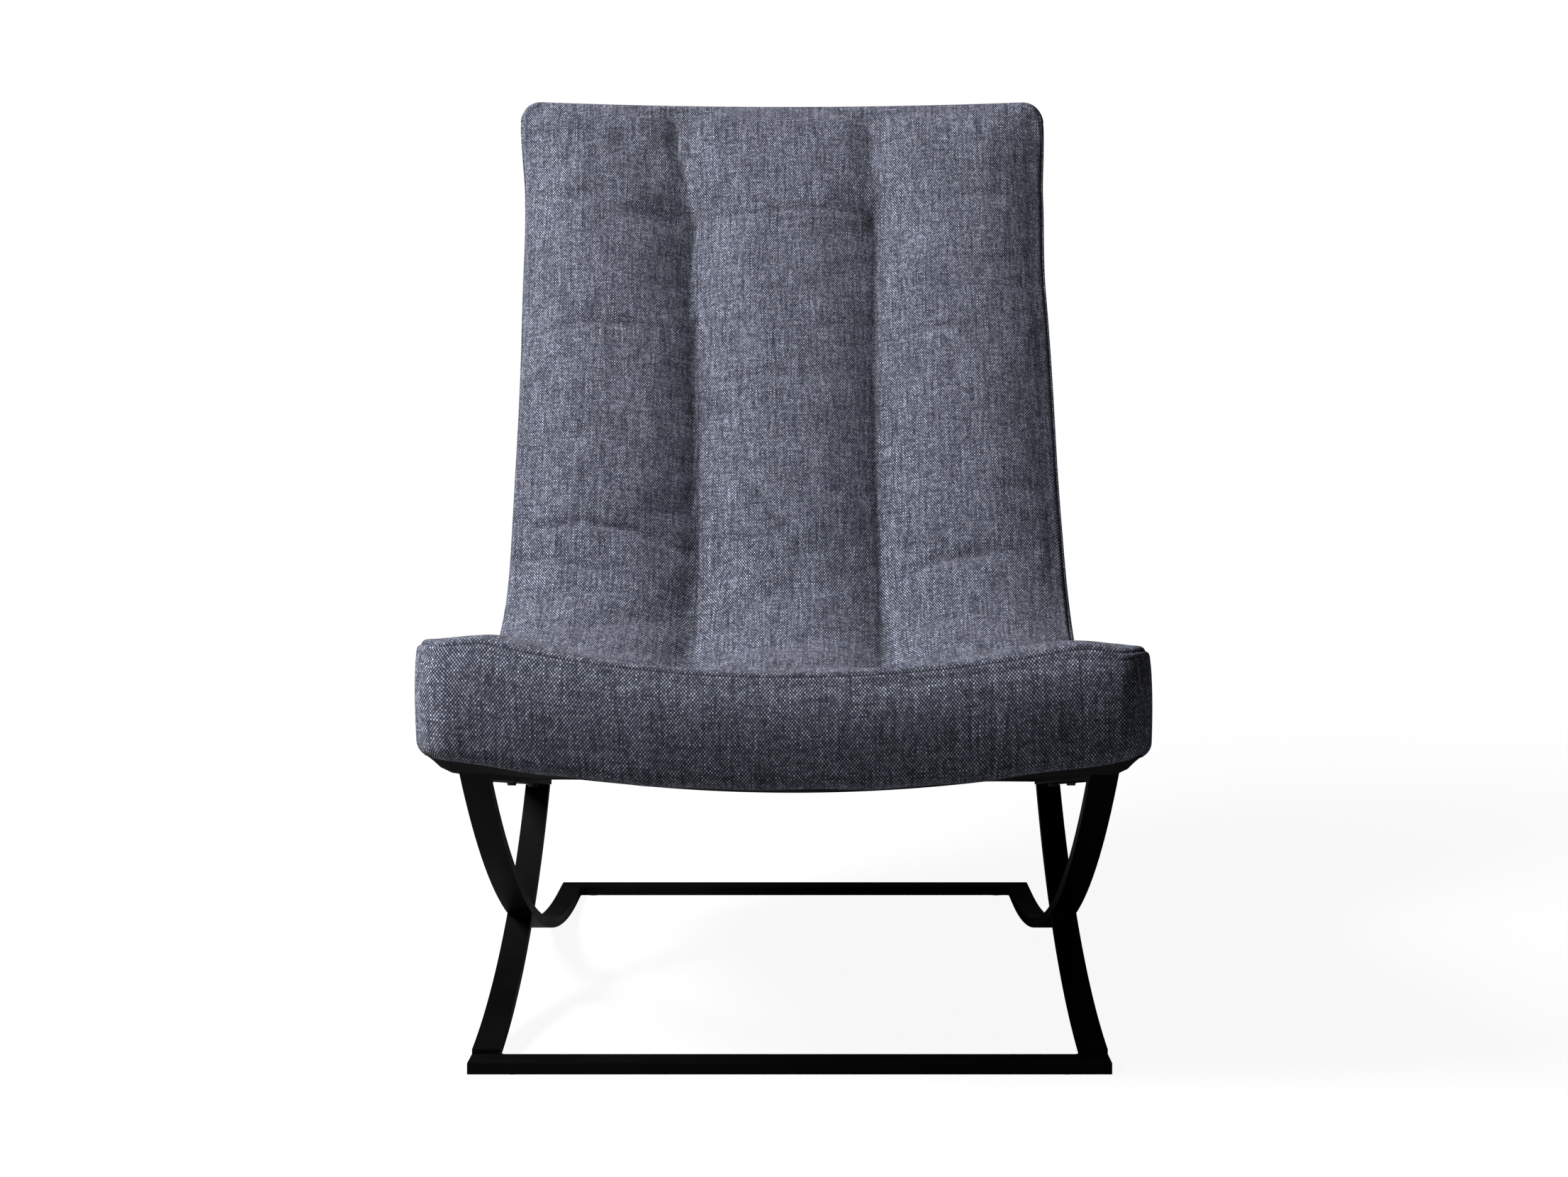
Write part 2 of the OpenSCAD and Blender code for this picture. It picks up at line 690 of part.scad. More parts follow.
module side_boxing() {
    function wall(i, off) =
        [for (q = boxing_section(off, side_bulge)) boxing_point(i, inset_half(i, q[1]), q)];
    stations = [turn_count - 1 : last - turn_count + 1];
    color(cloth) skin([for (i = stations) wall(i, 0)], [for (i = stations) wall(i, fabric_t)]);
}
// Boxing across an end of the shell and round both its corners, up to the side boxings.
// The ends' bulge turns into that of the sides on the way.
module end_boxing(i0, end_bulge) {
    way = end_way(i0);
    corner = [for (k = [turn_count - 1 : -1 : 0]) i0 + way * k];
    function side_wall(i, hand, off) =
        [for (q = boxing_section(off, side_bulge + (end_bulge - side_bulge) * sin(corner_turn(i))))
            boxing_point(i, hand * inset_half(i, q[1]), q, corner_turn(i) == 0 ? -way * fit : 0)];
    function end_wall(v, off) =
        [for (q = boxing_section(off, end_bulge)) boxing_point(i0, v * inset_half(i0, 0), q)];
    function walls(off) = concat(
        [for (i = corner) side_wall(i, -way, off)],
        [for (j = [1 : len(plain_row) - 2]) end_wall(way * plain_row[j], off)],
        [for (k = [0 : turn_count - 1]) side_wall(i0 + way * k, way, off)]
    );
    color(cloth) skin(walls(0), walls(fabric_t));
}
module front_boxing() {
    placed() end_boxing(0, front_bulge);
}
module top_boxing() {
    placed() end_boxing(last, side_bulge);
}
module outside_back() {
    placed() color(cloth) layer(
        path(shell_t - fabric_t, back_t - fabric_t, rear_bend_r - fabric_t), outside,
        bend_middle, last, bottom_r + fit
    );
}
module dust_cover() {
    placed() color([0.08, 0.08, 0.09]) difference() {
        layer(
            path(shell_t - dust_t, back_t - dust_t, rear_bend_r - dust_t), outside,
            1, bend_middle, bottom_r + fit
        );
        on_both_sides() for (s = bearer_holes) along_bearer(s, bearer_under)
            screw_hole(screw_len);
    }
}
module at_ties() {
    top = back_top - tuft_drop * along(back_a);
    for (x = [-column_w / 2, column_w / 2])
        translate([x, top.x, top.y]) rotate([back_a, 0, 0])
            translate([0, 0, -foam_bottom - strap_t - 2 * fit - dish(x)]) children();
}
module tie(d) {
    cylinder(d = d, h = foam_t + strap_t + fit, $fn = 32);
}
module tuft_ties() {
    placed() color([0.2, 0.2, 0.25]) at_ties() {
        tie(tie_d);
        translate([0, 0, -2]) cylinder(d = toggle_d, h = 2, $fn = 32);
    }
}

// The paired and repeated parts by name; left is the side of -X

module left_long_bar() {
    placed(true) long_bar();
}
module right_long_bar() {
    placed() long_bar();
}
module left_front_leg() {
    placed(true) front_leg();
}
module right_front_leg() {
    placed() front_leg();
}
module left_rear_post() {
    placed(true) rear_post();
}
module right_rear_post() {
    placed() rear_post();
}
module left_seat_bearer() {
    placed(true) seat_bearer();
}
module right_seat_bearer() {
    placed() seat_bearer();
}
module left_side_rail() {
    placed(true) side_rail();
}
module right_side_rail() {
    placed() side_rail();
}
module front_cross_rail() {
    placed() cross_rail(front_rail);
}
module seat_cross_rail() {
    placed() cross_rail(seat_rail);
}
module lumbar_cross_rail() {
    placed() cross_rail(lumbar_rail);
}
module top_cross_rail() {
    placed() cross_rail(top_rail);
}
module left_side_foam() {
    placed(true) side_foam();
}
module right_side_foam() {
    placed() side_foam();
}
module left_side_boxing() {
    placed(true) side_boxing();
}
module right_side_boxing() {
    placed() side_boxing();
}
module seat_webbing() {
    color(jute) placed() straps(front_rail, seat_rail);
}
module back_webbing() {
    color(jute) placed() difference() {
        straps(lumbar_rail, top_rail);
        at_ties() tie(tie_d + 2 * fit);
    }
}

front_floor_rail();
rear_floor_rail();
left_long_bar();
right_long_bar();
left_front_leg();
right_front_leg();
left_rear_post();
right_rear_post();
left_seat_bearer();
right_seat_bearer();
crossing_welds();
rail_welds();
bearer_welds();
floor_glides();
bearer_screws();
left_side_rail();
right_side_rail();
front_cross_rail();
seat_cross_rail();
lumbar_cross_rail();
top_cross_rail();
frame_screws();
seat_webbing();
back_webbing();
seat_foam();
back_foam();
left_side_foam();
right_side_foam();
front_edge_foam();
quilted_cover();
front_boxing();
left_side_boxing();
right_side_boxing();
top_boxing();
outside_back();
dust_cover();
tuft_ties();
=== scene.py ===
"""Armless high-back lounge chair, dressed over its CAD frame.

Lengths are in metres, X across the chair, Y from the front to the back, Z up from the floor.
"""
import math

import bpy
import numpy as np
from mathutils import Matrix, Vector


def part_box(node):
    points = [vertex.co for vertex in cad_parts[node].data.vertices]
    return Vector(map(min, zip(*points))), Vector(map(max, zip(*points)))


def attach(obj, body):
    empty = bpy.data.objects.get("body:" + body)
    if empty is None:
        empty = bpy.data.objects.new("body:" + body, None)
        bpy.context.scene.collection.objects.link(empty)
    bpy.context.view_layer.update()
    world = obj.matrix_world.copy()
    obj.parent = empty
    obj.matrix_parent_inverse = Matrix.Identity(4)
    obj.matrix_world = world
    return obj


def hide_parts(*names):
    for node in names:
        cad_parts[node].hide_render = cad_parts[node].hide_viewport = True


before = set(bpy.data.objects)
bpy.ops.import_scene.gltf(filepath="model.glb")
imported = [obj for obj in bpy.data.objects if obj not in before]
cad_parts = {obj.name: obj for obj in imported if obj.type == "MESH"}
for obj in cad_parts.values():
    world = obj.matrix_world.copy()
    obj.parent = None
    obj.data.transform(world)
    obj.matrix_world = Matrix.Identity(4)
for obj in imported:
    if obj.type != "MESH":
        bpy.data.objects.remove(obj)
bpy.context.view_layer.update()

MM = 0.001

# The shell, as in the CAD model. Its seat line and back line are seen from the side.
SHELL_W = 644 * MM
SEAT_OVERHANG = 69 * MM
SEAT_FRONT_H = 402 * MM
SEAT_DEPTH = 482 * MM
SEAT_SLOPE = math.radians(11.3)
BACK_RECLINE = math.radians(22)
BACK_LEN = 731 * MM
BEND_R = 200 * MM
REAR_BEND_R = 130 * MM
SHELL_T = 103 * MM
BACK_T = 90 * MM
DISH_DEPTH = 29 * MM
TOP_RISE = 10 * MM  # crown of the top edge
TOP_STRETCH = 6.5 * MM  # how much the padding stands over the frame's top
TOP_ZONE = 194 * MM  # length under the top that keeps its true length
RAIL_OUT = 291.9 * MM  # outer face of the side rails' screw heads
FOAM_BOTTOM = 62 * MM
BEARER_IN = 216 * MM  # inner edge of the frame's seat bearers

# The upholstery
QUILT_T = 26 * MM
COVER_T = 33 * MM  # depth of the cover's body under its highest points
EDGE_R = 16 * MM
TOP_CORNER_R = 27 * MM
FRONT_CORNER_R = 36 * MM
BOTTOM_R = 11 * MM
SIDE_DRAW = 7 * MM  # how far the sides draw in half-way along
COLUMN_W = 210 * MM
TUFT_DROP = 152 * MM  # from the top edge down to the tufts
SEAM_ANGLE = math.radians(60)  # where the cover meets the boxing, round the edge
CLOTH_T = 3 * MM
SEAM_INSET = EDGE_R * (1 - math.sin(SEAM_ANGLE))
SEAM_DEPTH = EDGE_R * (1 - math.cos(SEAM_ANGLE))
SEAM_DIP = 1.6 * MM  # how far the boxing dips into its seam
LEFT_SEAM_DEPTH = 20 * MM  # depth of the seams along the sides of the back
RIGHT_SEAM_DEPTH = 30 * MM
FRONT_BULGE = 7 * MM
TOP_BULGE = 2 * MM
SIDE_BULGE = 1 * MM
SIDE_ROLL = 70 * MM  # width over which the padding slopes off to the sides

FRONT_Y = float(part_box("front_floor_rail")[0][1])
HALF_W = SHELL_W / 2


# --- Side view ---

def along(angle):
    """Unit vector (Y, Z) that points along a heading."""
    return np.stack([np.cos(angle), np.sin(angle)], axis=-1)


def facing(angle):
    """Unit vector (Y, Z) square to a heading, towards the sitter."""
    return np.stack([-np.sin(angle), np.cos(angle)], axis=-1)


SEAT_A = -SEAT_SLOPE
BACK_A = math.pi / 2 - BACK_RECLINE
TURN = BACK_A - SEAT_A
SEAT_FRONT = np.array([FRONT_Y - SEAT_OVERHANG, SEAT_FRONT_H])
CROOK = SEAT_FRONT + SEAT_DEPTH / math.cos(SEAT_SLOPE) * along(SEAT_A)
BACK_TOP = CROOK + BACK_LEN * along(BACK_A)
SEAT_RUN = SEAT_DEPTH / math.cos(SEAT_SLOPE) - BEND_R * math.tan(TURN / 2)
BEND_RUN = BEND_R * TURN
BACK_RUN = BACK_LEN - BEND_R * math.tan(TURN / 2)
TOTAL = SEAT_RUN + BEND_RUN + BACK_RUN
TUFT_AT = TOTAL - TUFT_DROP
MID_BEND = SEAT_RUN + BEND_RUN / 2


def bell(d, w):
    """Bell curve of width w: 1 at d = 0."""
    return np.exp(-(d / w) ** 2)


def ease(t):
    """Smooth step from 0 at t = 0 to 1 at t = 1."""
    t = np.clip(t, 0, 1)
    return t * t * (3 - 2 * t)


def growth(s, size, start, over):
    """A size that grows smoothly from 0 at a start, over a stretch of length."""
    return size * ease((s - start) / over)


def hump(s, size, middle, width):
    """A size that swells and fades again in a bell about a middle."""
    return size * bell(s - middle, width)


def spike(d, size, width):
    """A size that falls off steeply with the distance d."""
    return size * np.exp(-d / width)


def heading(s):
    """Heading at length s along the sitting surface: seat, circular bend, back."""
    return SEAT_A + TURN * np.clip((s - SEAT_RUN) / BEND_RUN, 0, 1)


def crossing(a, b):
    """Where a line a below the seat line crosses a line b behind the back line."""
    n, m = facing(SEAT_A), facing(BACK_A)
    det = n[0] * m[1] - n[1] * m[0]
    return CROOK + np.array([b * n[1] - a * m[1], a * m[0] - b * n[0]]) / det


def side_path(s, a, b, r):
    """Point (Y, Z) at length s on a path a below the seat line and b behind the back line.

    The two straights are joined by an arc of radius r. Below the cover the path starts on
    an upright plane. Straights and arc are shared out like those of the sitting surface,
    and the last stretch before the top keeps its true length.
    """
    c = crossing(a, b)
    reach = r * math.tan(TURN / 2)
    lead = max(0.0, a - QUILT_T) * math.tan(SEAT_SLOPE)
    start = SEAT_FRONT - a * facing(SEAT_A) + lead * along(SEAT_A)
    first = start + FRONT_CORNER_R * along(SEAT_A)
    seat_end = c - reach * along(SEAT_A)
    hub = seat_end + r * facing(SEAT_A)
    back_start = c + reach * along(BACK_A)
    finish = BACK_TOP - b * facing(BACK_A)
    last = finish - TOP_ZONE * along(BACK_A)
    f_seat = np.clip((s - FRONT_CORNER_R) / (SEAT_RUN - FRONT_CORNER_R), 0, 1)[..., None]
    f_back = np.clip((s - SEAT_RUN - BEND_RUN) / (BACK_RUN - TOP_ZONE), 0, 1)[..., None]
    s_ = s[..., None]
    front = start + s_ * along(SEAT_A)
    seat = first + f_seat * (seat_end - first)
    bend = hub - r * facing(heading(s))
    back = back_start + f_back * (last - back_start)
    top = finish - (TOTAL - s_) * along(BACK_A)
    return np.select([s_ < FRONT_CORNER_R, s_ < SEAT_RUN, s_ < SEAT_RUN + BEND_RUN,
                      s_ < TOTAL - TOP_ZONE], [front, seat, bend, back], top)


DISH_R = (HALF_W ** 2 + DISH_DEPTH ** 2) / (2 * DISH_DEPTH)


def dish(x):
    """Hollow across the width: a circle through both edges and the middle."""
    return np.sqrt(DISH_R ** 2 - x ** 2) - (DISH_R - DISH_DEPTH)


# How the padding in the photograph differs from an even shell: sizes, each with its start
# and run along the length for growth(), or its middle and width for hump()
SPARE_BY_BEND = 2.5 * MM, 0.54, 0.12
SPARE_BY_TOP = 3.5 * MM, 0.92, 0.12
LEAN_AT_FRONT = 5.5 * MM
LEAN_BY_SEAT = 4.5 * MM, 0.0, 0.45
LEAN_BY_TOP = 11 * MM, 0.75, 0.45
DEEP_LEAN = 0.8  # share of the lean on the shell's outside
LEFT_SHOULDER = 10.9 * MM, 255 * MM  # height, and where across the width
RIGHT_SHOULDER = 6.1 * MM, 248 * MM
SHOULDER_FALL = 50 * MM  # width over which they fall off to the side
SHOULDERS_END = 1, 0.08, 0.25
RIGHT_DROOP = 6 * MM, 258 * MM, 52 * MM  # growth across the width
CROWN_EVEN, CROWN_ENDS = 5 * MM, 9 * MM
CROWN_END = 1, 0.0, 0.14
TOP_FLARE = 3 * MM, TOTAL - 0.12, 0.08
BACK_FLARE = 1.6 * MM, 0.7, 0.25
TUFT_DRAW = 2.5 * MM, TUFT_AT, 0.07


def spare(s):
    """Half of the extra width that the back's padding has on its right, low and high."""
    return growth(s, *SPARE_BY_TOP) + hump(s, *SPARE_BY_BEND)


def lean(s):
    """How far the padding sits to the left of the frame along its length."""
    return spare(s) - LEAN_AT_FRONT - growth(s, *LEAN_BY_SEAT) - growth(s, *LEAN_BY_TOP)


def shift_at(s, deep):
    """The lean at share deep of the way to the shell's outside."""
    return lean(s) * (1 - (1 - DEEP_LEAN) * deep)


def shoulder(s, x, h):
    """Extra height of the seat's padding towards its sides, near the front.

    It grows with the square of the width to a peak, and falls to nothing at the side and
    the underside. The left shoulder is fuller, and the right end droops a little.
    """
    height, peak = (np.where(x > 0, right, left)
                    for right, left in zip(RIGHT_SHOULDER, LEFT_SHOULDER))
    w = np.abs(x)
    across = height * np.where(w < peak, (w / peak) ** 2, 1 - ease((w - peak) / SHOULDER_FALL))
    fade = (1 - growth(s, *SHOULDERS_END)) * np.clip(1 - h / SHELL_T, 0, 1)
    return (across - growth(x, *RIGHT_DROOP)) * fade


def crown(s, x):
    """How far the seat's front edge draws back from its middle towards its ends."""
    u = np.abs(x) / HALF_W
    return (CROWN_EVEN * u ** 2 + CROWN_ENDS * u ** 6) * (1 - growth(s, *CROWN_END))


def place(s, x, h):
    """World points at length s, width x and depth h under the sitting surface.

    Down to the cover's depth the points lie on paths parallel to the surface. Deeper ones
    lie between the cover's underside and the outside of the shell.
    """
    angle = heading(s)
    parallel = side_path(s, 0, 0, BEND_R) - np.minimum(h, QUILT_T)[..., None] * facing(angle)
    outside = side_path(s, SHELL_T, BACK_T, REAR_BEND_R)
    share = np.clip((h - QUILT_T) / (SHELL_T - QUILT_T), 0, None)[..., None]
    deep = np.clip(h / SHELL_T, 0, 1)
    shift = shift_at(s, deep)
    lift = shoulder(s, x, h) - dish(x + deep * shift)
    rise = ease(1 - (TOTAL - s) / TOP_ZONE) * (TOP_STRETCH + TOP_RISE * (1 - (x / HALF_W) ** 2))
    p = parallel + share * (outside - parallel) + lift[..., None] * facing(angle) \
        + rise[..., None] * along(angle)
    return np.stack([x + shift, p[..., 0] + crown(s, x), p[..., 1]], axis=-1)


# --- Outline ---

def drawn_half(s):
    """Half width along the length: full at the ends, drawn in between and at the tufts."""
    wider = spare(s) + growth(s, *TOP_FLARE) + hump(s, *BACK_FLARE)
    drawn_in = SIDE_DRAW * np.sin(np.pi * np.clip(s / TOTAL, 0, 1)) + hump(s, *TUFT_DRAW)
    return HALF_W + wider - drawn_in


def corners(s):
    """Whether the nearer end is the top, the radius of its corners and its distance."""
    at_top = s > TOTAL / 2
    r = np.where(at_top, TOP_CORNER_R, FRONT_CORNER_R)
    return at_top, r, np.where(at_top, TOTAL - s, s)


def outline(t, inset):
    """Length and width of the shell's outline, drawn in by inset, at share t of its turn.

    t from 0 to 1 runs up the right side, 1 to 2 over the right top corner, 2 to 3 along
    the top to its middle; 0 down to -1 runs round the right front corner, and -1 to -2
    along the front to its middle.
    """
    s0, s1 = FRONT_CORNER_R, TOTAL - TOP_CORNER_R
    top_turn = np.clip(t - 1, 0, 1) * np.pi / 2
    front_turn = np.clip(-t, 0, 1) * np.pi / 2
    s = s0 + (s1 - s0) * np.clip(t, 0, 1) + (TOP_CORNER_R - inset) * np.sin(top_turn) \
        - (FRONT_CORNER_R - inset) * np.sin(front_turn)
    r = np.where(t > 0.5, TOP_CORNER_R, FRONT_CORNER_R)
    turn = np.maximum(top_turn, front_turn)
    straight = 1 - np.clip(t - 2, 0, 1) - np.clip(-t - 1, 0, 1)
    x = (drawn_half(s) - r) * straight + (r - inset) * np.cos(turn)
    return s, x


# --- Relief of the padded cover ---

# Sizes with the start and run along the length over which they grow
CHANNEL_SPREAD = 8 * MM, 0.75, 0.26
LEFT_CHANNEL_LEAN = 16 * MM, TUFT_AT, 0.12
CHANNEL_AT_FRONT = 0.12  # shares of the channels' full depth
CHANNEL_DEEPENS = 0.88, 0.015, 0.10
CHANNEL_PAST_TUFTS = 0.42, TUFT_AT, 0.05
CHANNEL_BY_TOP = 0.45, TOTAL - 0.06, 0.055
BACK_SIDES = 1, 0.25, 0.35  # the round edge turns into a slope
CORNER_TURN = 1, 0.08, 0.8  # as the distance from the end outweighs that from the side
SLOPE_POWER = 1.9
SLOPE_AT_TOP = 0.35  # shares of the slope's full depth
SLOPE_BELOW_TOP = 0.65, 0.0, 0.11
GROOVE_PAST_TUFTS = 0.75, TUFT_AT, 0.05
# share of the channels' painted shade that fades past the tufts
CHANNEL_SHADE_PAST_TUFTS = 0.7, TUFT_AT, 0.05
# share of the seams' painted shade lost away from the front
SEAM_SHADOW_FADES = 0.5, 0.0, 0.12

# Depths, or shares of painted shade, with the width over which they fall off
GROOVE = 5.5 * MM, 4.5 * MM
TUFT_DIMPLE = 8 * MM, 15 * MM
TUFT_PIT = 5 * MM, 5 * MM
SEAM_GROOVE = 1.6 * MM, 1.6 * MM
CHANNEL_NARROW_SHADE = 0.65, 2.5 * MM
CHANNEL_SHADE = 0.28, 12 * MM
TUFT_SHADOW = 1, 4 * MM
SEAM_SHADOW, SEAM_SHADOW_W = 0.9, 1.3 * MM

LEFT_ARCH = 15 * MM, 9 * MM  # square and fourth-power parts of an arch
ARCH = 9 * MM, 8 * MM
EDGE_ARCH = 1.5 * MM, 0.0
FLAT_BY_SEAM = 16 * MM  # width beside the seam where relief dies out
DEEPEST = 30 * MM


def channel_x(s, x):
    """Distance of each sewn channel from the middle, which spreads towards the tufts.

    Past its tuft the left channel leans further out.
    """
    past = (x < 0) * growth(s, *LEFT_CHANNEL_LEAN)
    return COLUMN_W / 2 + growth(s, *CHANNEL_SPREAD) + past


def soft_limit(h, limit):
    """Follows h while it is small and levels off under the limit."""
    return h / (1 + (h / limit) ** 4) ** 0.25


def edge_distance(s, x):
    """Distance in from the outline, round corners included."""
    r, end = corners(s)[1:]
    side = drawn_half(s) - np.abs(x)
    in_corner = (side < r) & (end < r)
    return np.where(in_corner, r - np.hypot(r - side, r - end), np.minimum(side, end))


def channel_strength(s):
    """How deep the channels are: shallow at the front edge, full on the seat and back,
    weaker above the tufts and nearly gone at the top edge."""
    front = CHANNEL_AT_FRONT + growth(s, *CHANNEL_DEEPENS)
    return front * (1 - growth(s, *CHANNEL_PAST_TUFTS) - growth(s, *CHANNEL_BY_TOP))


def edge_profile(s, x):
    """Depth of the rounded edge under the sitting surface.

    At the front and top ends and along the seat the edge is a quarter circle. Along the
    sides of the back the padding slopes off over a wider strip, as a power curve that ends
    lower at the seam. Round the corners one turns into the other.
    """
    e = edge_distance(s, x)
    e_side = np.maximum(drawn_half(s) - np.abs(x), 0)
    e_end = np.maximum(np.minimum(s, TOTAL - s), 0)
    side = growth(e_end / (e_end + e_side + 1e-6), *CORNER_TURN) * growth(s, *BACK_SIDES)
    q = np.clip(1 - e / EDGE_R, 0, 1)
    circle = EDGE_R * (1 - np.sqrt(1 - q ** 2))
    run = np.maximum(SIDE_ROLL - e, 0) / (SIDE_ROLL - SEAM_INSET)
    slope = np.where(x < 0, LEFT_SEAM_DEPTH, RIGHT_SEAM_DEPTH) * run ** SLOPE_POWER
    slope = slope * (SLOPE_AT_TOP + growth(TOTAL - s, *SLOPE_BELOW_TOP))
    return circle + side * (slope - circle)


# Folds of the cover as points (length, width), depth and half width, in metres. Lengths are
# counted from the tufts' line.
FOLDS = [
    ([(0.0, -0.116), (0.026, -0.14), (0.056, -0.166), (0.088, -0.19)], 0.0085, 0.026),
    ([(-0.006, -0.108), (0.004, -0.08), (0.008, -0.02), (0.012, 0.06), (0.008, 0.108)],
     0.0032, 0.0045),
    ([(-0.012, -0.12), (-0.004, -0.15), (0.008, -0.19)], 0.0032, 0.009),
    ([(0.022, -0.28), (0.024, -0.18), (0.02, -0.06), (0.024, 0.08), (0.02, 0.18),
      (0.026, 0.29)], 0.0009, 0.0028),
    ([(-0.06, 0.13), (-0.02, 0.15), (0.004, 0.118)], 0.0035, 0.012),
    ([(-0.409, -0.292), (-0.4, -0.235), (-0.41, -0.17), (-0.428, -0.116)], 0.0036, 0.0065),
    ([(-0.415, -0.098), (-0.412, -0.06), (-0.416, -0.02)], 0.0014, 0.005),
    ([(-0.44, -0.296), (-0.452, -0.23), (-0.47, -0.15)], 0.0018, 0.006),
    ([(-0.455, 0.12), (-0.44, 0.19), (-0.432, 0.285)], 0.002, 0.006),
    ([(-0.152, -0.27), (-0.146, -0.18), (-0.154, -0.125)], 0.001, 0.004),
    ([(-0.16, 0.12), (-0.15, 0.2), (-0.154, 0.28)], 0.0012, 0.0045),
    ([(-0.215, -0.095), (-0.208, 0.0), (-0.214, 0.095)], 0.0008, 0.004),
]
FOLD_END = 0.06  # a fold's ends are as shallow as this share in from them

SQUASH_DEPTH, SQUASH_AT, SQUASH_W = 0.16 * MM, 0.50, 0.085
SQUASH_PITCH = 0.0145
SQUASH_DRIFT = [(3.2, 17, 1.0), (2.0, 41, 0.0)]  # size, turns and start, in radians


def fold(s, x, points, depth, width):
    """A valley along a line through points: a bell of the distance, shallow at both ends."""
    near = np.full(s.shape, 1e9)
    share = np.zeros(s.shape)
    last = len(points) - 1
    for i in range(last):
        (s0, x0), (s1, x1) = points[i], points[i + 1]
        ds, dx = s1 - s0, x1 - x0
        f = np.clip(((s - TUFT_AT - s0) * ds + (x - x0) * dx) / (ds * ds + dx * dx), 0, 1)
        d = np.hypot(s - TUFT_AT - s0 - f * ds, x - x0 - f * dx)
        closer = d < near
        near = np.where(closer, d, near)
        share = np.where(closer, (i + f) / last, share)
    along_it = np.clip(share, FOLD_END, 1 - FOLD_END)
    return depth * bell(near, width) * np.sin(np.pi * along_it) ** 0.5


def squash_lines(s, x):
    """Shallow lines across the seat's rear and the bend, where the padding is pressed.

    They are sine waves along the length whose phase drifts with the width.
    """
    drift = sum(size * np.sin(x * turns + start) for size, turns, start in SQUASH_DRIFT)
    wave = np.sin(s * 2 * np.pi / SQUASH_PITCH + drift)
    return hump(s, SQUASH_DEPTH, SQUASH_AT, SQUASH_W) * (1 + wave)


def arch(t, square, fourth):
    """Fall of a padded column at share t of the way from its middle to its side."""
    return square * t ** 2 + fourth * t ** 4


def relief(s, x):
    """Depth of the cover's face under the sitting surface.

    Each column is an arch whose slope grows towards its channels. A narrow groove follows
    each channel, the cover dips round the tufts, and folds lie across. Beside the seam the
    cover dips into it, and all the rest dies out.
    """
    c = channel_x(s, x)
    half = drawn_half(s)
    w = np.abs(x)
    outer = w > c
    t = np.abs(np.where(outer, (w - (half + c) / 2) / ((half - c) / 2), x / c))
    at_edge = outer & (w > (half + c) / 2)
    strength = channel_strength(s)
    column = np.where(outer & (x < 0), arch(t, *LEFT_ARCH), arch(t, *ARCH)) * strength
    column = np.where(at_edge, arch(t, *EDGE_ARCH), column)
    d = np.abs(w - c)
    groove = spike(d, *GROOVE) * strength * (1 - growth(s, *GROOVE_PAST_TUFTS))
    from_tuft = np.hypot(d, s - TUFT_AT)
    tuft = spike(from_tuft, *TUFT_DIMPLE) + spike(from_tuft, *TUFT_PIT)
    folds = sum(fold(s, x, *f) for f in FOLDS) + squash_lines(s, x)
    from_seam = edge_distance(s, x) - SEAM_INSET
    inner = (column + groove + tuft + folds) * ease(from_seam / FLAT_BY_SEAM)
    dip = spike(np.maximum(from_seam, 0), *SEAM_GROOVE)
    return edge_profile(s, x) + dip + soft_limit(inner, DEEPEST)


def seam_shadow(s, distance):
    """Painted shade of the cloth at a distance from its seam, 0 to 1: most along the front."""
    return spike(distance, SEAM_SHADOW - growth(s, *SEAM_SHADOW_FADES), SEAM_SHADOW_W)


def shadow_line(s, x):
    """Painted shade, 0 to 1, by how close a point is to a seam, a tuft or a channel's bottom.
    """
    d = np.abs(np.abs(x) - channel_x(s, x))
    channel = (spike(d, *CHANNEL_NARROW_SHADE) + spike(d, *CHANNEL_SHADE)) * channel_strength(s)
    channel *= 1 - growth(s, *CHANNEL_SHADE_PAST_TUFTS)
    tuft = spike(np.hypot(d, s - TUFT_AT), *TUFT_SHADOW)
    seam = seam_shadow(s, np.maximum(edge_distance(s, x) - SEAM_INSET, 0))
    return np.maximum.reduce([channel, tuft, seam])


# --- Meshes ---

def grid_faces(rows, cols, start=0, flip=False):
    """Quads of a grid of points whose numbers run along each row."""
    i = np.arange(rows - 1)[:, None] * cols + np.arange(cols - 1) + start
    quads = np.stack([i, i + 1, i + cols + 1, i + cols], axis=-1).reshape(-1, 4)
    return quads[:, ::-1] if flip else quads


def make_mesh(name, points, quads, cloth=None, shadow=None):
    """A mesh object from points and quads, with cloth coordinates in metres on its UV map.

    Shadow, from 0 to 1 at each point, is the painted shade at seams and channels.
    """
    mesh = bpy.data.meshes.new(name)
    mesh.from_pydata(points.reshape(-1, 3).tolist(), [], quads.tolist())
    mesh.polygons.foreach_set("use_smooth", np.ones(len(quads), dtype=bool))
    if cloth is not None:
        layer = mesh.uv_layers.new(name="cloth")
        layer.data.foreach_set("uv", cloth.reshape(-1, 2)[quads.ravel()].ravel())
    if shadow is not None:
        layer = mesh.attributes.new("shadow", "FLOAT", "POINT")
        layer.data.foreach_set("value", shadow.ravel().astype(np.float32))
    mesh.update()
    obj = bpy.data.objects.new(name, mesh)
    bpy.context.collection.objects.link(obj)
    return obj


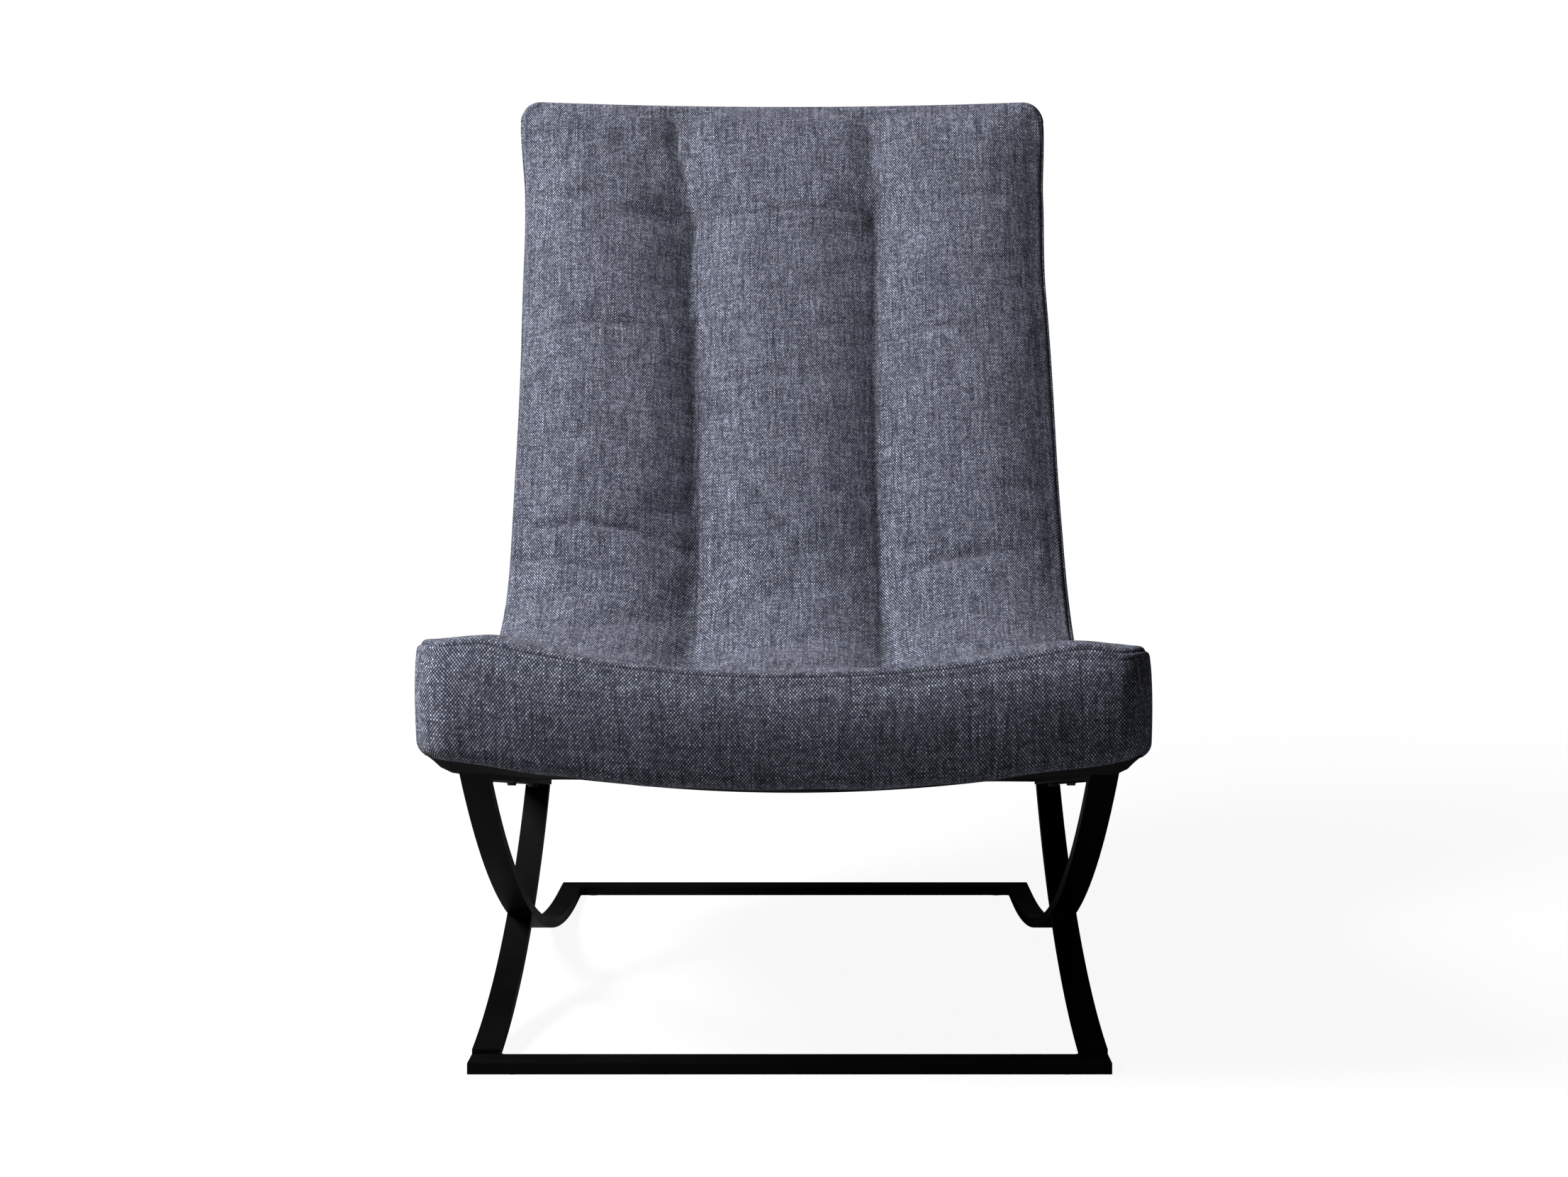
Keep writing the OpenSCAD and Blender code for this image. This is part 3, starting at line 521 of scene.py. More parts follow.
def slab(name, top, bottom, cloth, shadow=None):
    """A closed body between two grids of the same size, joined round all four edges."""
    rows, cols = top.shape[:2]
    n = rows * cols
    ring = np.concatenate([np.arange(cols), np.arange(1, rows) * cols + cols - 1,
                           (rows - 1) * cols + np.arange(cols - 2, -1, -1),
                           np.arange(rows - 2, 0, -1) * cols])
    after = np.roll(ring, -1)
    sides = np.stack([after, ring, ring + n, after + n], axis=-1)
    quads = np.concatenate([grid_faces(rows, cols), grid_faces(rows, cols, n, True), sides])
    both = np.concatenate([top.reshape(-1, 3), bottom.reshape(-1, 3)])
    uv = np.concatenate([cloth.reshape(-1, 2)] * 2)
    if shadow is None:
        shadow = np.zeros((rows, cols))
    return make_mesh(name, both, quads, uv, np.concatenate([shadow.ravel()] * 2))


def subdivided(body):
    """The body, with one level of subdivision."""
    sub = body.modifiers.new("smooth", "SUBSURF")
    sub.levels = sub.render_levels = 1
    return body


# --- Padded cover ---

SEAM_RUNS_OUT = 0.85, 0.45, 0.2  # growth of the share that the inset loses
SEAM_BACK_IN = 1, TOTAL - 0.067, 0.04
CORNER_ROWS, STRAIGHT_ROWS, COLUMNS = 14, 293, 163
EVEN_COLUMNS = 0.86  # the rest of their spacing crowds to the sides
UNDERSIDE_HALF = 0.96 * HALF_W

# How the cover is sewn down and swells between its seams
CHANNEL_HOLD, SEAM_HOLD, TUFT_HOLD = 7 * MM, 9 * MM, 22 * MM
FULL_HOLD = 1.3  # times a channel's share of its full depth, at most 1
LOOSE_DEPTH = 2.5 * MM  # how deep the free cloth starts
LARGEST_SWELL = 6 * MM
SWELL_FRAMES = 18
SMOOTHINGS = 6
HOLD_LEVELS = 20


def seam_share(s):
    """Share of the seam's full inset at a length: on the sides of the back the seam runs
    close to the outline, so that the boxing doesn't show from the front."""
    return 1 - growth(s, *SEAM_RUNS_OUT) * (1 - growth(s, *SEAM_BACK_IN))


def cover_rows():
    """Lengths of the cover's rows: finer round the corners at both ends."""
    turn = np.linspace(np.pi / 2, 0, CORNER_ROWS + 1)[:-1]
    front = FRONT_CORNER_R - (FRONT_CORNER_R - SEAM_INSET) * np.sin(turn)
    top = TOTAL - TOP_CORNER_R + (TOP_CORNER_R - SEAM_INSET) * np.sin(turn[::-1])
    middle = np.linspace(FRONT_CORNER_R, TOTAL - TOP_CORNER_R, STRAIGHT_ROWS)
    return np.concatenate([front, middle, top])


def cover_grid():
    """Length and width of every point of the cover's face, out to its seam."""
    s = cover_rows()
    r, end = corners(s)[1:]
    reach = np.clip(r - end, 0, r - SEAM_INSET)
    half = drawn_half(s) - r + np.sqrt((r - SEAM_INSET * seam_share(s)) ** 2 - reach ** 2)
    v = np.linspace(-1, 1, COLUMNS)
    v = EVEN_COLUMNS * v + (1 - EVEN_COLUMNS) * np.sin(v * np.pi / 2)
    x = half[:, None] * v
    return np.broadcast_to(s[:, None], x.shape).copy(), x


def unrolled(s, x):
    """Cloth coordinates of the face, with the round at its edge laid out flat.

    There the cloth is as long as the arc, so a point moves outwards by the difference
    between the arc and its plan.
    """
    at_top, r, end = corners(s)
    to_side = np.maximum(r - drawn_half(s) + np.abs(x), 0)
    to_end = np.maximum(r - end, 0)
    q = np.clip(1 - edge_distance(s, x) / EDGE_R, 0, 1)
    extra = EDGE_R * (np.arcsin(q) - q) / (np.hypot(to_side, to_end) + 1e-9)
    return np.stack([x + np.sign(x) * extra * to_side,
                     s + np.where(at_top, 1, -1) * extra * to_end], axis=-1)


def swell(points, hold):
    """Lets the cover's face puff out as cloth between its seams, and returns the points.

    The cloth is a little larger than its frame, air presses it outwards, and hold, from 0
    to 1, says how firmly each point is sewn down.
    """
    rows, cols = hold.shape
    obj = make_mesh("cover_cloth", points, grid_faces(rows, cols))
    group = obj.vertex_groups.new(name="sewn")
    levels = np.round(hold.ravel() * HOLD_LEVELS).astype(int)
    for level in range(1, HOLD_LEVELS + 1):
        members = np.nonzero(levels == level)[0]
        if len(members):
            group.add(members.tolist(), level / HOLD_LEVELS, "REPLACE")
    cloth = obj.modifiers.new("cloth", "CLOTH")
    c = cloth.settings
    c.quality = 5
    c.mass = 0.25
    c.tension_stiffness = c.compression_stiffness = 12
    c.shear_stiffness = 4
    c.bending_stiffness = 0.4
    c.air_damping = 2
    c.shrink_min = -0.010
    c.use_pressure = True
    c.uniform_pressure_force = 4
    c.vertex_group_mass = "sewn"
    c.pin_stiffness = 1
    c.effector_weights.gravity = 0
    cloth.point_cache.frame_start = 1
    cloth.point_cache.frame_end = SWELL_FRAMES
    scene = bpy.context.scene
    for f in range(1, SWELL_FRAMES + 1):
        scene.frame_set(f)
        bpy.context.view_layer.update()
    held = obj.evaluated_get(bpy.context.evaluated_depsgraph_get())
    out = np.empty(rows * cols * 3, dtype=np.float32)
    held.data.vertices.foreach_get("co", out)
    scene.frame_set(1)
    mesh = obj.data
    bpy.data.objects.remove(obj)
    bpy.data.meshes.remove(mesh)
    return out.reshape(points.shape).astype(float)


def refine(field):
    """Spreads a grid of values over one with twice the rows and columns, by averages."""
    rows, cols = field.shape[:2]
    fine = np.empty((2 * rows - 1, 2 * cols - 1) + field.shape[2:])
    fine[::2, ::2] = field
    fine[1::2, ::2] = (field[:-1] + field[1:]) / 2
    fine[:, 1::2] = (fine[:, :-1:2] + fine[:, 2::2]) / 2
    return fine


def smooth(field, times):
    """Averages a grid of values with its neighbours, keeping its border."""
    for _ in range(times):
        inner = (field[:-2, 1:-1] + field[2:, 1:-1] + field[1:-1, :-2] + field[1:-1, 2:]) / 4
        field = field.copy()
        field[1:-1, 1:-1] = 0.5 * field[1:-1, 1:-1] + 0.5 * inner
    return field


def cover():
    """The quilted cover: a padded body from its stitched face down to the foam."""
    s, x = cover_grid()
    depth = relief(s, x)
    face = place(s, x, depth)
    d = np.abs(x) - channel_x(s, x)
    hold = np.maximum.reduce([
        bell(d, CHANNEL_HOLD) * np.clip(channel_strength(s) * FULL_HOLD, 0, 1),
        bell(edge_distance(s, x) - SEAM_INSET, SEAM_HOLD),
        bell(np.hypot(d, s - TUFT_AT), TUFT_HOLD),
    ])
    start = place(s, x, depth + LOOSE_DEPTH * (1 - hold))
    move = refine(swell(start[::2, ::2], hold[::2, ::2]) - start[::2, ::2])
    size = np.linalg.norm(move, axis=-1, keepdims=True)
    move *= np.minimum(1, LARGEST_SWELL / np.maximum(size, 1e-9))
    face = start + smooth(move, SMOOTHINGS)
    inner = place(s, np.clip(x, -UNDERSIDE_HALF, UNDERSIDE_HALF), np.full_like(s, COVER_T))
    # shadow_line gives the painted shade kept in the cover's shadow attribute
    grids = (face, inner, unrolled(s, x), shadow_line(s, x))
    return subdivided(slab("quilted_cover_cloth", *(grid[:, ::-1] for grid in grids)))


# --- Boxing and panels ---

ARC_POINTS, WALL_POINTS, HEM_POINTS = 12, 16, 8  # along the section's three stretches
SIDE_STEPS, END_STEPS = 150, 121
DROP_DEPTH, DROP_POWER = 40 * MM, 1.5  # how the edge below a lowered seam gives way
BULGE_POWER = 0.85  # the wall is fullest a little above its middle
BOXING_DIP = 1.8 * MM  # width of its dip into the seam
HEM_WAVE = 1.1 * MM  # the lower edge isn't quite straight
HEM_WAVE_LENGTHS = 0.021, 0.057
HEM_FROM = 0.6  # share of the depth where the waves begin

SLAB_GRID = 60, 41
STRIP_GRID = 120, 8
FOAM_ENDS = 38 * MM, TOTAL - 30 * MM
CLEARANCE = 0.5 * MM
SLAB_GAP_ABOVE, SLAB_GAP_BELOW = 8 * MM, 1.5 * MM
SLAB_JOINT = 0.2 * MM  # half the gap between the two slabs
THINNEST_FOAM = 2 * MM
PANEL_GAP = 0.3 * MM
PANEL_ROWS, PANEL_COLUMNS = 90, 61
DUST_START, DUST_T = 12 * MM, 1.5 * MM
LEVEL_TO = 308 * MM  # width where a level panel meets the dish again
LEVEL_RAMP = 14 * MM
LEVEL_START = 20 * MM
LEVEL_END = 1, 0.36, 0.06


def distance_along(a, b):
    """Distance along a line of points with coordinates a and b."""
    return np.concatenate([[0], np.cumsum(np.hypot(np.diff(a), np.diff(b)))])


def boxing_section(bulge, drop):
    """Inset from the outline, depth and length round the boxing's section, as arrays.

    From the seam it follows the rest of the rounded edge, then a bulging wall, then the
    small round of the lower edge. Drop lowers the seam; the edge below it gives way. The
    strip dips into the seam at its start.
    """
    a = np.linspace(SEAM_ANGLE, np.pi / 2, ARC_POINTS)
    b = np.linspace(0, np.pi / 2, HEM_POINTS)
    wall = np.linspace(EDGE_R, SHELL_T - BOTTOM_R, WALL_POINTS)[1:-1]
    inset = np.concatenate([EDGE_R * (1 - np.sin(a)), np.zeros_like(wall),
                            BOTTOM_R * (1 - np.cos(b))])
    depth = np.concatenate([EDGE_R * (1 - np.cos(a)), wall,
                            SHELL_T - BOTTOM_R + BOTTOM_R * np.sin(b)])
    depth = depth + drop * np.clip(1 - (depth - SEAM_DEPTH) / DROP_DEPTH, 0, 1) ** DROP_POWER
    below = np.clip((depth - EDGE_R) / (SHELL_T - EDGE_R), 0, 1)
    inset = inset - bulge * np.sin(np.pi * below ** BULGE_POWER)
    length = distance_along(inset, depth)
    return inset + SEAM_DIP * bell(length, BOXING_DIP), depth, length


def boxing(name, t, sign, bulge):
    """A boxing strip along the outline turns t, on the side of sign, as a closed thin body.

    bulge is one value per turn.
    """
    share = seam_share(outline(t, np.full_like(t, SEAM_INSET))[0])
    seam_s, seam_x = outline(t, SEAM_INSET * share)
    drop = edge_profile(seam_s, seam_x) - SEAM_DEPTH
    s, x = outline(t, np.zeros_like(t))
    run = distance_along(s, x * sign)
    sections = [boxing_section(b, d) for b, d in zip(bulge, drop)]
    inset, depth, length = (np.array(q) for q in zip(*sections))
    inset[:, :ARC_POINTS] *= share[:, None]
    fine, broad = HEM_WAVE_LENGTHS
    hem = HEM_WAVE * np.sin(run / fine) * np.sin(run / broad + 1)
    depth = depth + hem[:, None] * np.clip((depth / SHELL_T - HEM_FROM) / (1 - HEM_FROM), 0, 1)
    walls = []
    for off in (0, CLOTH_T):
        s, x = outline(t[:, None], inset + off)
        walls.append(place(s, x * sign[:, None], depth))
    cloth = np.stack([np.broadcast_to(run[:, None], depth.shape), -length], axis=-1)
    # the seam's painted shade goes into the boxing's shadow attribute
    return subdivided(slab(name, *walls, cloth, seam_shadow(seam_s[:, None], length)))


def side_boxing(name, sign):
    """Boxing up one side, between the corners' ends."""
    t = np.linspace(0, 1, SIDE_STEPS)
    t = t if sign > 0 else t[::-1]
    return boxing(name, t, np.full_like(t, sign), np.full_like(t, SIDE_BULGE))


def end_boxing(name, first, bulge):
    """Boxing across an end and round both its corners; first is the turn at the middle."""
    w = np.linspace(-1, 1, END_STEPS)
    if first > 0:
        t, sign = 3 - 2 * np.abs(w), -np.sign(w)
    else:
        t, sign = -2 + 2 * np.abs(w), np.sign(w)
    middle = 1 - np.clip(np.abs(w) * 2 - 1, 0, 1)
    return boxing(name, t, sign, SIDE_BULGE + (bulge - SIDE_BULGE) * ease(middle))


def foam_slab(name, s0, s1):
    """Foam slab under the cover from length s0 to s1, narrower at its top."""
    rows, cols = SLAB_GRID
    v = np.linspace(-1, 1, cols)
    s = np.broadcast_to(np.linspace(s0, s1, rows)[:, None], SLAB_GRID)
    grids = []
    for h, gap in ((COVER_T + CLEARANCE, SLAB_GAP_ABOVE), (FOAM_BOTTOM, SLAB_GAP_BELOW)):
        x = (drawn_half(s) - CLOTH_T - gap) * v
        grids.append(place(s, x, np.full(s.shape, h)))
    return slab(name, *grids, np.stack([s * v, s], axis=-1))


def side_foam(name, sign):
    """Foam strip between a side rail and its boxing, from the slabs to the lower edge."""
    rows, cols = STRIP_GRID
    s = np.linspace(*FOAM_ENDS, rows)[:, None]
    h = np.linspace(FOAM_BOTTOM + CLEARANCE, SHELL_T - BOTTOM_R - THINNEST_FOAM, cols)
    s, h = np.broadcast_arrays(s, h)
    skin = drawn_half(s) - CLOTH_T - SLAB_GAP_BELOW
    core = np.minimum(RAIL_OUT - sign * shift_at(s, h / SHELL_T), skin - THINNEST_FOAM)
    outer, inner = (place(s, sign * w, h) for w in (skin, core))
    pair = (outer, inner) if sign > 0 else (inner, outer)
    return slab(name, *pair, np.stack([s, h], axis=-1))


def back_rows():
    """Lengths of the outside back's rows, with finer ones round its top corners."""
    turn = np.linspace(0, np.pi / 2, 9)[1:]
    start = TOTAL - TOP_CORNER_R
    return np.concatenate([np.linspace(MID_BEND, start, PANEL_ROWS),
                           start + (TOP_CORNER_R - BOTTOM_R) * np.sin(turn)])


def panel(name, s, thickness):
    """A dished panel on the outside of the shell, with rows at the lengths s.

    Under the seat it stays level over the frame's bearers, instead of following the dish.
    """
    gap = BOTTOM_R + PANEL_GAP
    r = TOP_CORNER_R
    reach = np.clip(s - (TOTAL - r), 0, r - gap)
    half = drawn_half(s) - r + np.sqrt(np.maximum((r - gap) ** 2 - reach ** 2, 0))
    x = half[:, None] * np.linspace(-1, 1, PANEL_COLUMNS)
    s = np.broadcast_to(s[:, None], x.shape)
    w = np.abs(x)
    level = np.where(w > BEARER_IN, dish(BEARER_IN) - dish(w), 0)
    level = level * ease((LEVEL_TO - w) / LEVEL_RAMP)
    level = level * ease((s - s[0, 0]) / LEVEL_START) * (1 - growth(s, *LEVEL_END))
    outer, inner = (place(s, x, SHELL_T + level - t) for t in (0, thickness))
    return slab(name, outer, inner, np.stack([x, s], axis=-1))


# --- Materials ---

def node(tree, kind, **sockets):
    """A node of a kind, with attributes or input values set by name."""
    n = tree.nodes.new(kind)
    for key, value in sockets.items():
        if hasattr(n, key):
            setattr(n, key, value)
        else:
            n.inputs[key].default_value = value
    return n


def calc(tree, operation, *values):
    """A maths node on sockets or plain numbers; returns its output."""
    n = tree.nodes.new("ShaderNodeMath")
    n.operation = operation
    for i, value in enumerate(values):
        if isinstance(value, (int, float)):
            n.inputs[i].default_value = value
        else:
            tree.links.new(value, n.inputs[i])
    return n.outputs[0]


def blend_colour(tree, factor, a, b, mode="MIX"):
    """A colour mix of two colours, each a socket or a plain colour; returns its output."""
    n = tree.nodes.new("ShaderNodeMix")
    n.data_type = "RGBA"
    n.blend_type = mode
    for key, value in ((0, factor), (6, a), (7, b)):
        if isinstance(value, (int, float)):
            n.inputs[key].default_value = value
        elif isinstance(value, tuple):
            n.inputs[key].default_value = value + (1,)
        else:
            tree.links.new(value, n.inputs[key])
    return n.outputs[2]


def new_group(name, inputs, outputs):
    """An empty node group with named sockets; returns it with its in and out nodes."""
    g = bpy.data.node_groups.new(name, "ShaderNodeTree")
    for label, kind, value in inputs:
        socket = g.interface.new_socket(label, in_out="INPUT", socket_type=kind)
        if value is not None:
            socket.default_value = value
    for label, kind in outputs:
        g.interface.new_socket(label, in_out="OUTPUT", socket_type=kind)
    return g, g.nodes.new("NodeGroupInput"), g.nodes.new("NodeGroupOutput")


# Tone of the cloth: how much single floats differ, how much single yarns do, with the
# length of their changes and a seed, and streaks as width, height, amount and seed
FLECK = 0.65
WARP_TONE = 38 * MM, 0.70, 33.0
WEFT_TONE = 26 * MM, 0.40, 39.0
STREAKS = [(0.0045, 0.090, 0.18, 3.0), (0.070, 0.0055, 0.11, 9.0), (0.060, 0.080, 0.06, 27.0)]
WOBBLE = 25 * MM, 25 * MM, 0.3, 1.5  # the yarns' lines waver, in the same terms
RIDGE_ACROSS, RIDGE_ALONG = 2.7, 1.9  # radians of a cosine over a yarn's width and float
YARN_STEP = 7.31  # moves each yarn's noise off its neighbour's
DARKEST_TONE = 0.12
SHADOW_DEPTH = 0.75  # share of the colour that full painted shade takes away
# painted shade of the weave: colour scale on a yarn's ridge, less in the valleys
RIDGE_LIGHT, VALLEY_LIGHT = 0.80, 0.24


def basket_weave():
    """Group for a plain weave of thick yarn: light weft over dark warp in a chequer.

    Each yarn is a rounded ridge that rises where it passes over, and its colour holds
    painted shade, darker towards the valleys between yarns. Single floats, yarns and
    patches of the cloth differ in tone, which gives the flecks and streaks.
    """
    g, gin, gout = new_group(
        "basket weave",
        [("Cloth", "NodeSocketVector", None), ("Yarn width", "NodeSocketFloat", 1.42 * MM),
         ("Yarn height", "NodeSocketFloat", 1.72 * MM),
         ("Dark", "NodeSocketColor", (0.030, 0.034, 0.058, 1)),
         ("Blue", "NodeSocketColor", (0.250, 0.270, 0.370, 1)),
         ("Light", "NodeSocketColor", (0.45, 0.465, 0.550, 1))],
        [("Color", "NodeSocketColor"), ("Height", "NodeSocketFloat")])
    split = node(g, "ShaderNodeSeparateXYZ")
    g.links.new(gin.outputs["Cloth"], split.inputs[0])
    across, length = split.outputs[0], split.outputs[1]

    def noise_at(a, b, amount, seed):
        """Noise about 1, up to amount either way, at two coordinates."""
        point = node(g, "ShaderNodeCombineXYZ", Z=seed)
        g.links.new(a, point.inputs[0])
        g.links.new(b, point.inputs[1])
        noise = node(g, "ShaderNodeTexNoise", noise_dimensions="3D", Scale=1.0, Detail=1.0)
        g.links.new(point.outputs[0], noise.inputs["Vector"])
        return calc(g, "MULTIPLY_ADD", noise.outputs[0], 3 * amount, 1 - 1.5 * amount)

    def uneven(wide, tall, amount, seed):
        """Streaks or patches of a size in metres."""
        return noise_at(calc(g, "DIVIDE", across, wide), calc(g, "DIVIDE", length, tall),
                        amount, seed)

    def yarn_tone(number, along_yarn, stretch, amount, seed):
        """Tone of single yarns: noise along each one, unlike its neighbours'."""
        return noise_at(calc(g, "MULTIPLY", number, YARN_STEP),
                        calc(g, "DIVIDE", along_yarn, stretch), amount, seed)

    wobble = uneven(*WOBBLE)
    u = calc(g, "ADD", calc(g, "DIVIDE", across, gin.outputs["Yarn width"]), wobble)
    v = calc(g, "ADD", calc(g, "DIVIDE", length, gin.outputs["Yarn height"]), wobble)
    iu, iv = calc(g, "FLOOR", u), calc(g, "FLOOR", v)
    fu = calc(g, "SUBTRACT", calc(g, "FRACT", u), 0.5)
    fv = calc(g, "SUBTRACT", calc(g, "FRACT", v), 0.5)
    over = calc(g, "FLOORED_MODULO", calc(g, "ADD", iu, iv), 2.0)

    def ridge(across_yarn, along_yarn):
        """Height of a yarn: an arch across it, and a lower arch along the float."""
        a = calc(g, "COSINE", calc(g, "MULTIPLY", across_yarn, RIDGE_ACROSS))
        b = calc(g, "COSINE", calc(g, "MULTIPLY", along_yarn, RIDGE_ALONG))
        return calc(g, "MULTIPLY", calc(g, "MAXIMUM", a, 0.0), calc(g, "MAXIMUM", b, 0.0))

    weft, warp = ridge(fv, fu), ridge(fu, fv)
    height = calc(g, "ADD", calc(g, "MULTIPLY", weft, over),
                  calc(g, "MULTIPLY", warp, calc(g, "SUBTRACT", 1.0, over)))

    cell = node(g, "ShaderNodeCombineXYZ")
    g.links.new(iu, cell.inputs[0])
    g.links.new(iv, cell.inputs[1])
    fleck = node(g, "ShaderNodeTexWhiteNoise", noise_dimensions="2D")
    g.links.new(cell.outputs[0], fleck.inputs["Vector"])
    tone = calc(g, "MULTIPLY_ADD", fleck.outputs[0], FLECK, 1 - FLECK / 2)
    tone = calc(g, "MULTIPLY", tone, yarn_tone(iu, length, *WARP_TONE))
    tone = calc(g, "MULTIPLY", tone, yarn_tone(iv, across, *WEFT_TONE))
    for streak in STREAKS:
        tone = calc(g, "MULTIPLY", tone, uneven(*streak))
    light = blend_colour(g, fleck.outputs[0], gin.outputs["Blue"], gin.outputs["Light"])
    top = blend_colour(g, over, gin.outputs["Dark"], light)
    # painted shade by the yarn's height, times the yarns' own tone
    shade = calc(g, "MULTIPLY", calc(g, "MULTIPLY_ADD", height, RIDGE_LIGHT, VALLEY_LIGHT),
                 calc(g, "MAXIMUM", tone, DARKEST_TONE))
    g.links.new(blend_colour(g, 1.0, top, shade, "MULTIPLY"), gout.inputs["Color"])
    g.links.new(height, gout.inputs["Height"])
    return g


def new_material(name, roughness, specular, **values):
    """A material with its shader's plain values set; returns it, its tree and shader."""
    m = bpy.data.materials.new(name)
    m.use_nodes = True
    shader = m.node_tree.nodes["Principled BSDF"]
    shader.inputs["Roughness"].default_value = roughness
    shader.inputs["Specular IOR Level"].default_value = specular
    for key, value in values.items():
        shader.inputs[key].default_value = value
    return m, m.node_tree, shader


def bump(tree, height, shader, distance, strength):
    """Feeds a height into the shader's normal."""
    b = node(tree, "ShaderNodeBump", Strength=strength, Distance=distance)
    tree.links.new(height, b.inputs["Height"])
    tree.links.new(b.outputs[0], shader.inputs["Normal"])


def upholstery(weave):
    """Blue-grey flecked basket weave on the cloth coordinates, with painted shade."""
    m, t, shader = new_material("upholstery weave", 0.92, 0.12)
    shader.inputs["Sheen Weight"].default_value = 0.06
    shader.inputs["Sheen Roughness"].default_value = 0.5
    uv = node(t, "ShaderNodeUVMap", uv_map="cloth")
    w = node(t, "ShaderNodeGroup", node_tree=weave)
    t.links.new(uv.outputs[0], w.inputs["Cloth"])
    # painted shade: the shadow attribute darkens the weave at seams, tufts and channels
    shadow = node(t, "ShaderNodeAttribute", attribute_name="shadow")
    dim = calc(t, "MULTIPLY_ADD", shadow.outputs["Fac"], -SHADOW_DEPTH, 1.0)
    colour = blend_colour(t, 1.0, w.outputs["Color"], dim, "MULTIPLY")
    t.links.new(colour, shader.inputs["Base Color"])
    bump(t, w.outputs["Height"], shader, 0.2 * MM, 0.6)
    return m


def object_noise(tree, scale, detail=4.0, stretch=(1, 1, 1)):
    """Noise on object coordinates, stretched along the axes; returns its value."""
    where = node(tree, "ShaderNodeTexCoord")
    turn = node(tree, "ShaderNodeMapping")
    turn.inputs["Scale"].default_value = stretch
    noise = node(tree, "ShaderNodeTexNoise", Scale=scale, Detail=detail)
    tree.links.new(where.outputs["Object"], turn.inputs["Vector"])
    tree.links.new(turn.outputs[0], noise.inputs["Vector"])
    return noise.outputs[0]


def span(tree, value, low, high):
    """Value mapped from low..high to 0..1, and held there."""
    n = node(tree, "ShaderNodeMapRange")
    n.inputs["From Min"].default_value = low
    n.inputs["From Max"].default_value = high
    tree.links.new(value, n.inputs["Value"])
    return n.outputs[0]


def mottled(tree, shader, noise, half, dark, light):
    """Colours a shader from dark to light over a half width of noise about its middle."""
    tree.links.new(blend_colour(tree, span(tree, noise, 0.5 - half, 0.5 + half), dark, light),
                   shader.inputs["Base Color"])


def powder_coat():
    """Matt black powder coat: orange-peel bump and slightly uneven gloss."""
    m, t, shader = new_material("black powder coat", 0.5, 0.08)
    peel = object_noise(t, 900.0, 2.0)
    broad = object_noise(t, 14.0, 3.0)
    mottled(t, shader, broad, 0.2, (0.0022, 0.0018, 0.0021), (0.0040, 0.0033, 0.0037))
    t.links.new(calc(t, "MULTIPLY_ADD", broad, 0.24, 0.40), shader.inputs["Roughness"])
    bump(t, peel, shader, 0.05 * MM, 0.5)
    return m


def plain_cloth(name, dark, light, scale):
    """Felt, foam or non-woven cloth: two tones of fine noise, and its bump."""
    m, t, shader = new_material(name, 0.95, 0.2)
    grain = object_noise(t, scale)
    mottled(t, shader, grain, 0.15, dark, light)
    bump(t, grain, shader, 0.4 * MM, 0.6)
    return m


def timber(name, dark, light, stretch):
    """Raw wood with grain drawn out along one axis."""
    m, t, shader = new_material(name, 0.7, 0.5)
    grain = object_noise(t, 30.0, 6.0, stretch)
    mottled(t, shader, grain, 0.2, dark, light)
    bump(t, grain, shader, 0.3 * MM, 0.4)
    return m


def zinc(name, dark, light):
    """Zinc-plated screws with faint spangle."""
    m, t, shader = new_material(name, 0.35, 0.5, Metallic=1.0)
    spangle = object_noise(t, 500.0, 2.0)
    mottled(t, shader, spangle, 0.2, dark, light)
    t.links.new(calc(t, "MULTIPLY_ADD", spangle, 0.25, 0.25), shader.inputs["Roughness"])
    return m


def paint(names, material):
    """Gives CAD nodes a material."""
    for name in names:
        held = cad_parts[name].data.materials
        held.clear()
        held.append(material)


# --- Making ---

cloth_material = upholstery(basket_weave())

pieces = {
    "quilted_cover": cover(),
    "front_boxing": end_boxing("front_boxing_cloth", -2, FRONT_BULGE),
    "top_boxing": end_boxing("top_boxing_cloth", 3, TOP_BULGE),
    "left_side_boxing": side_boxing("left_side_boxing_cloth", -1.0),
    "right_side_boxing": side_boxing("right_side_boxing_cloth", 1.0),
    "seat_foam": foam_slab("seat_foam_slab", FOAM_ENDS[0], MID_BEND - SLAB_JOINT),
    "back_foam": foam_slab("back_foam_slab", MID_BEND + SLAB_JOINT, FOAM_ENDS[1]),
    "left_side_foam": side_foam("left_side_foam_strip", -1.0),
    "right_side_foam": side_foam("right_side_foam_strip", 1.0),
    "outside_back": panel("outside_back_cloth", back_rows(), CLOTH_T),
    "dust_cover": panel("dust_cover_cloth",
                        np.linspace(DUST_START, MID_BEND - PANEL_GAP, PANEL_ROWS), DUST_T),
}
foam_material = plain_cloth("foam", (0.70, 0.64, 0.46), (0.85, 0.80, 0.62), 1400.0)
foams = ("seat_foam", "back_foam", "left_side_foam", "right_side_foam")
finishes = {name: ("foam", foam_material) for name in foams}
finishes["dust_cover"] = ("dust_cloth", plain_cloth("dust cloth", (0.008,) * 3,
                                                    (0.025, 0.025, 0.027), 700.0))
for cad_name, piece in pieces.items():
    slot, material = finishes.get(cad_name, ("upholstery", cloth_material))
    piece.data.materials.append(material)
    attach(piece, "root")
    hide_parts(cad_name)

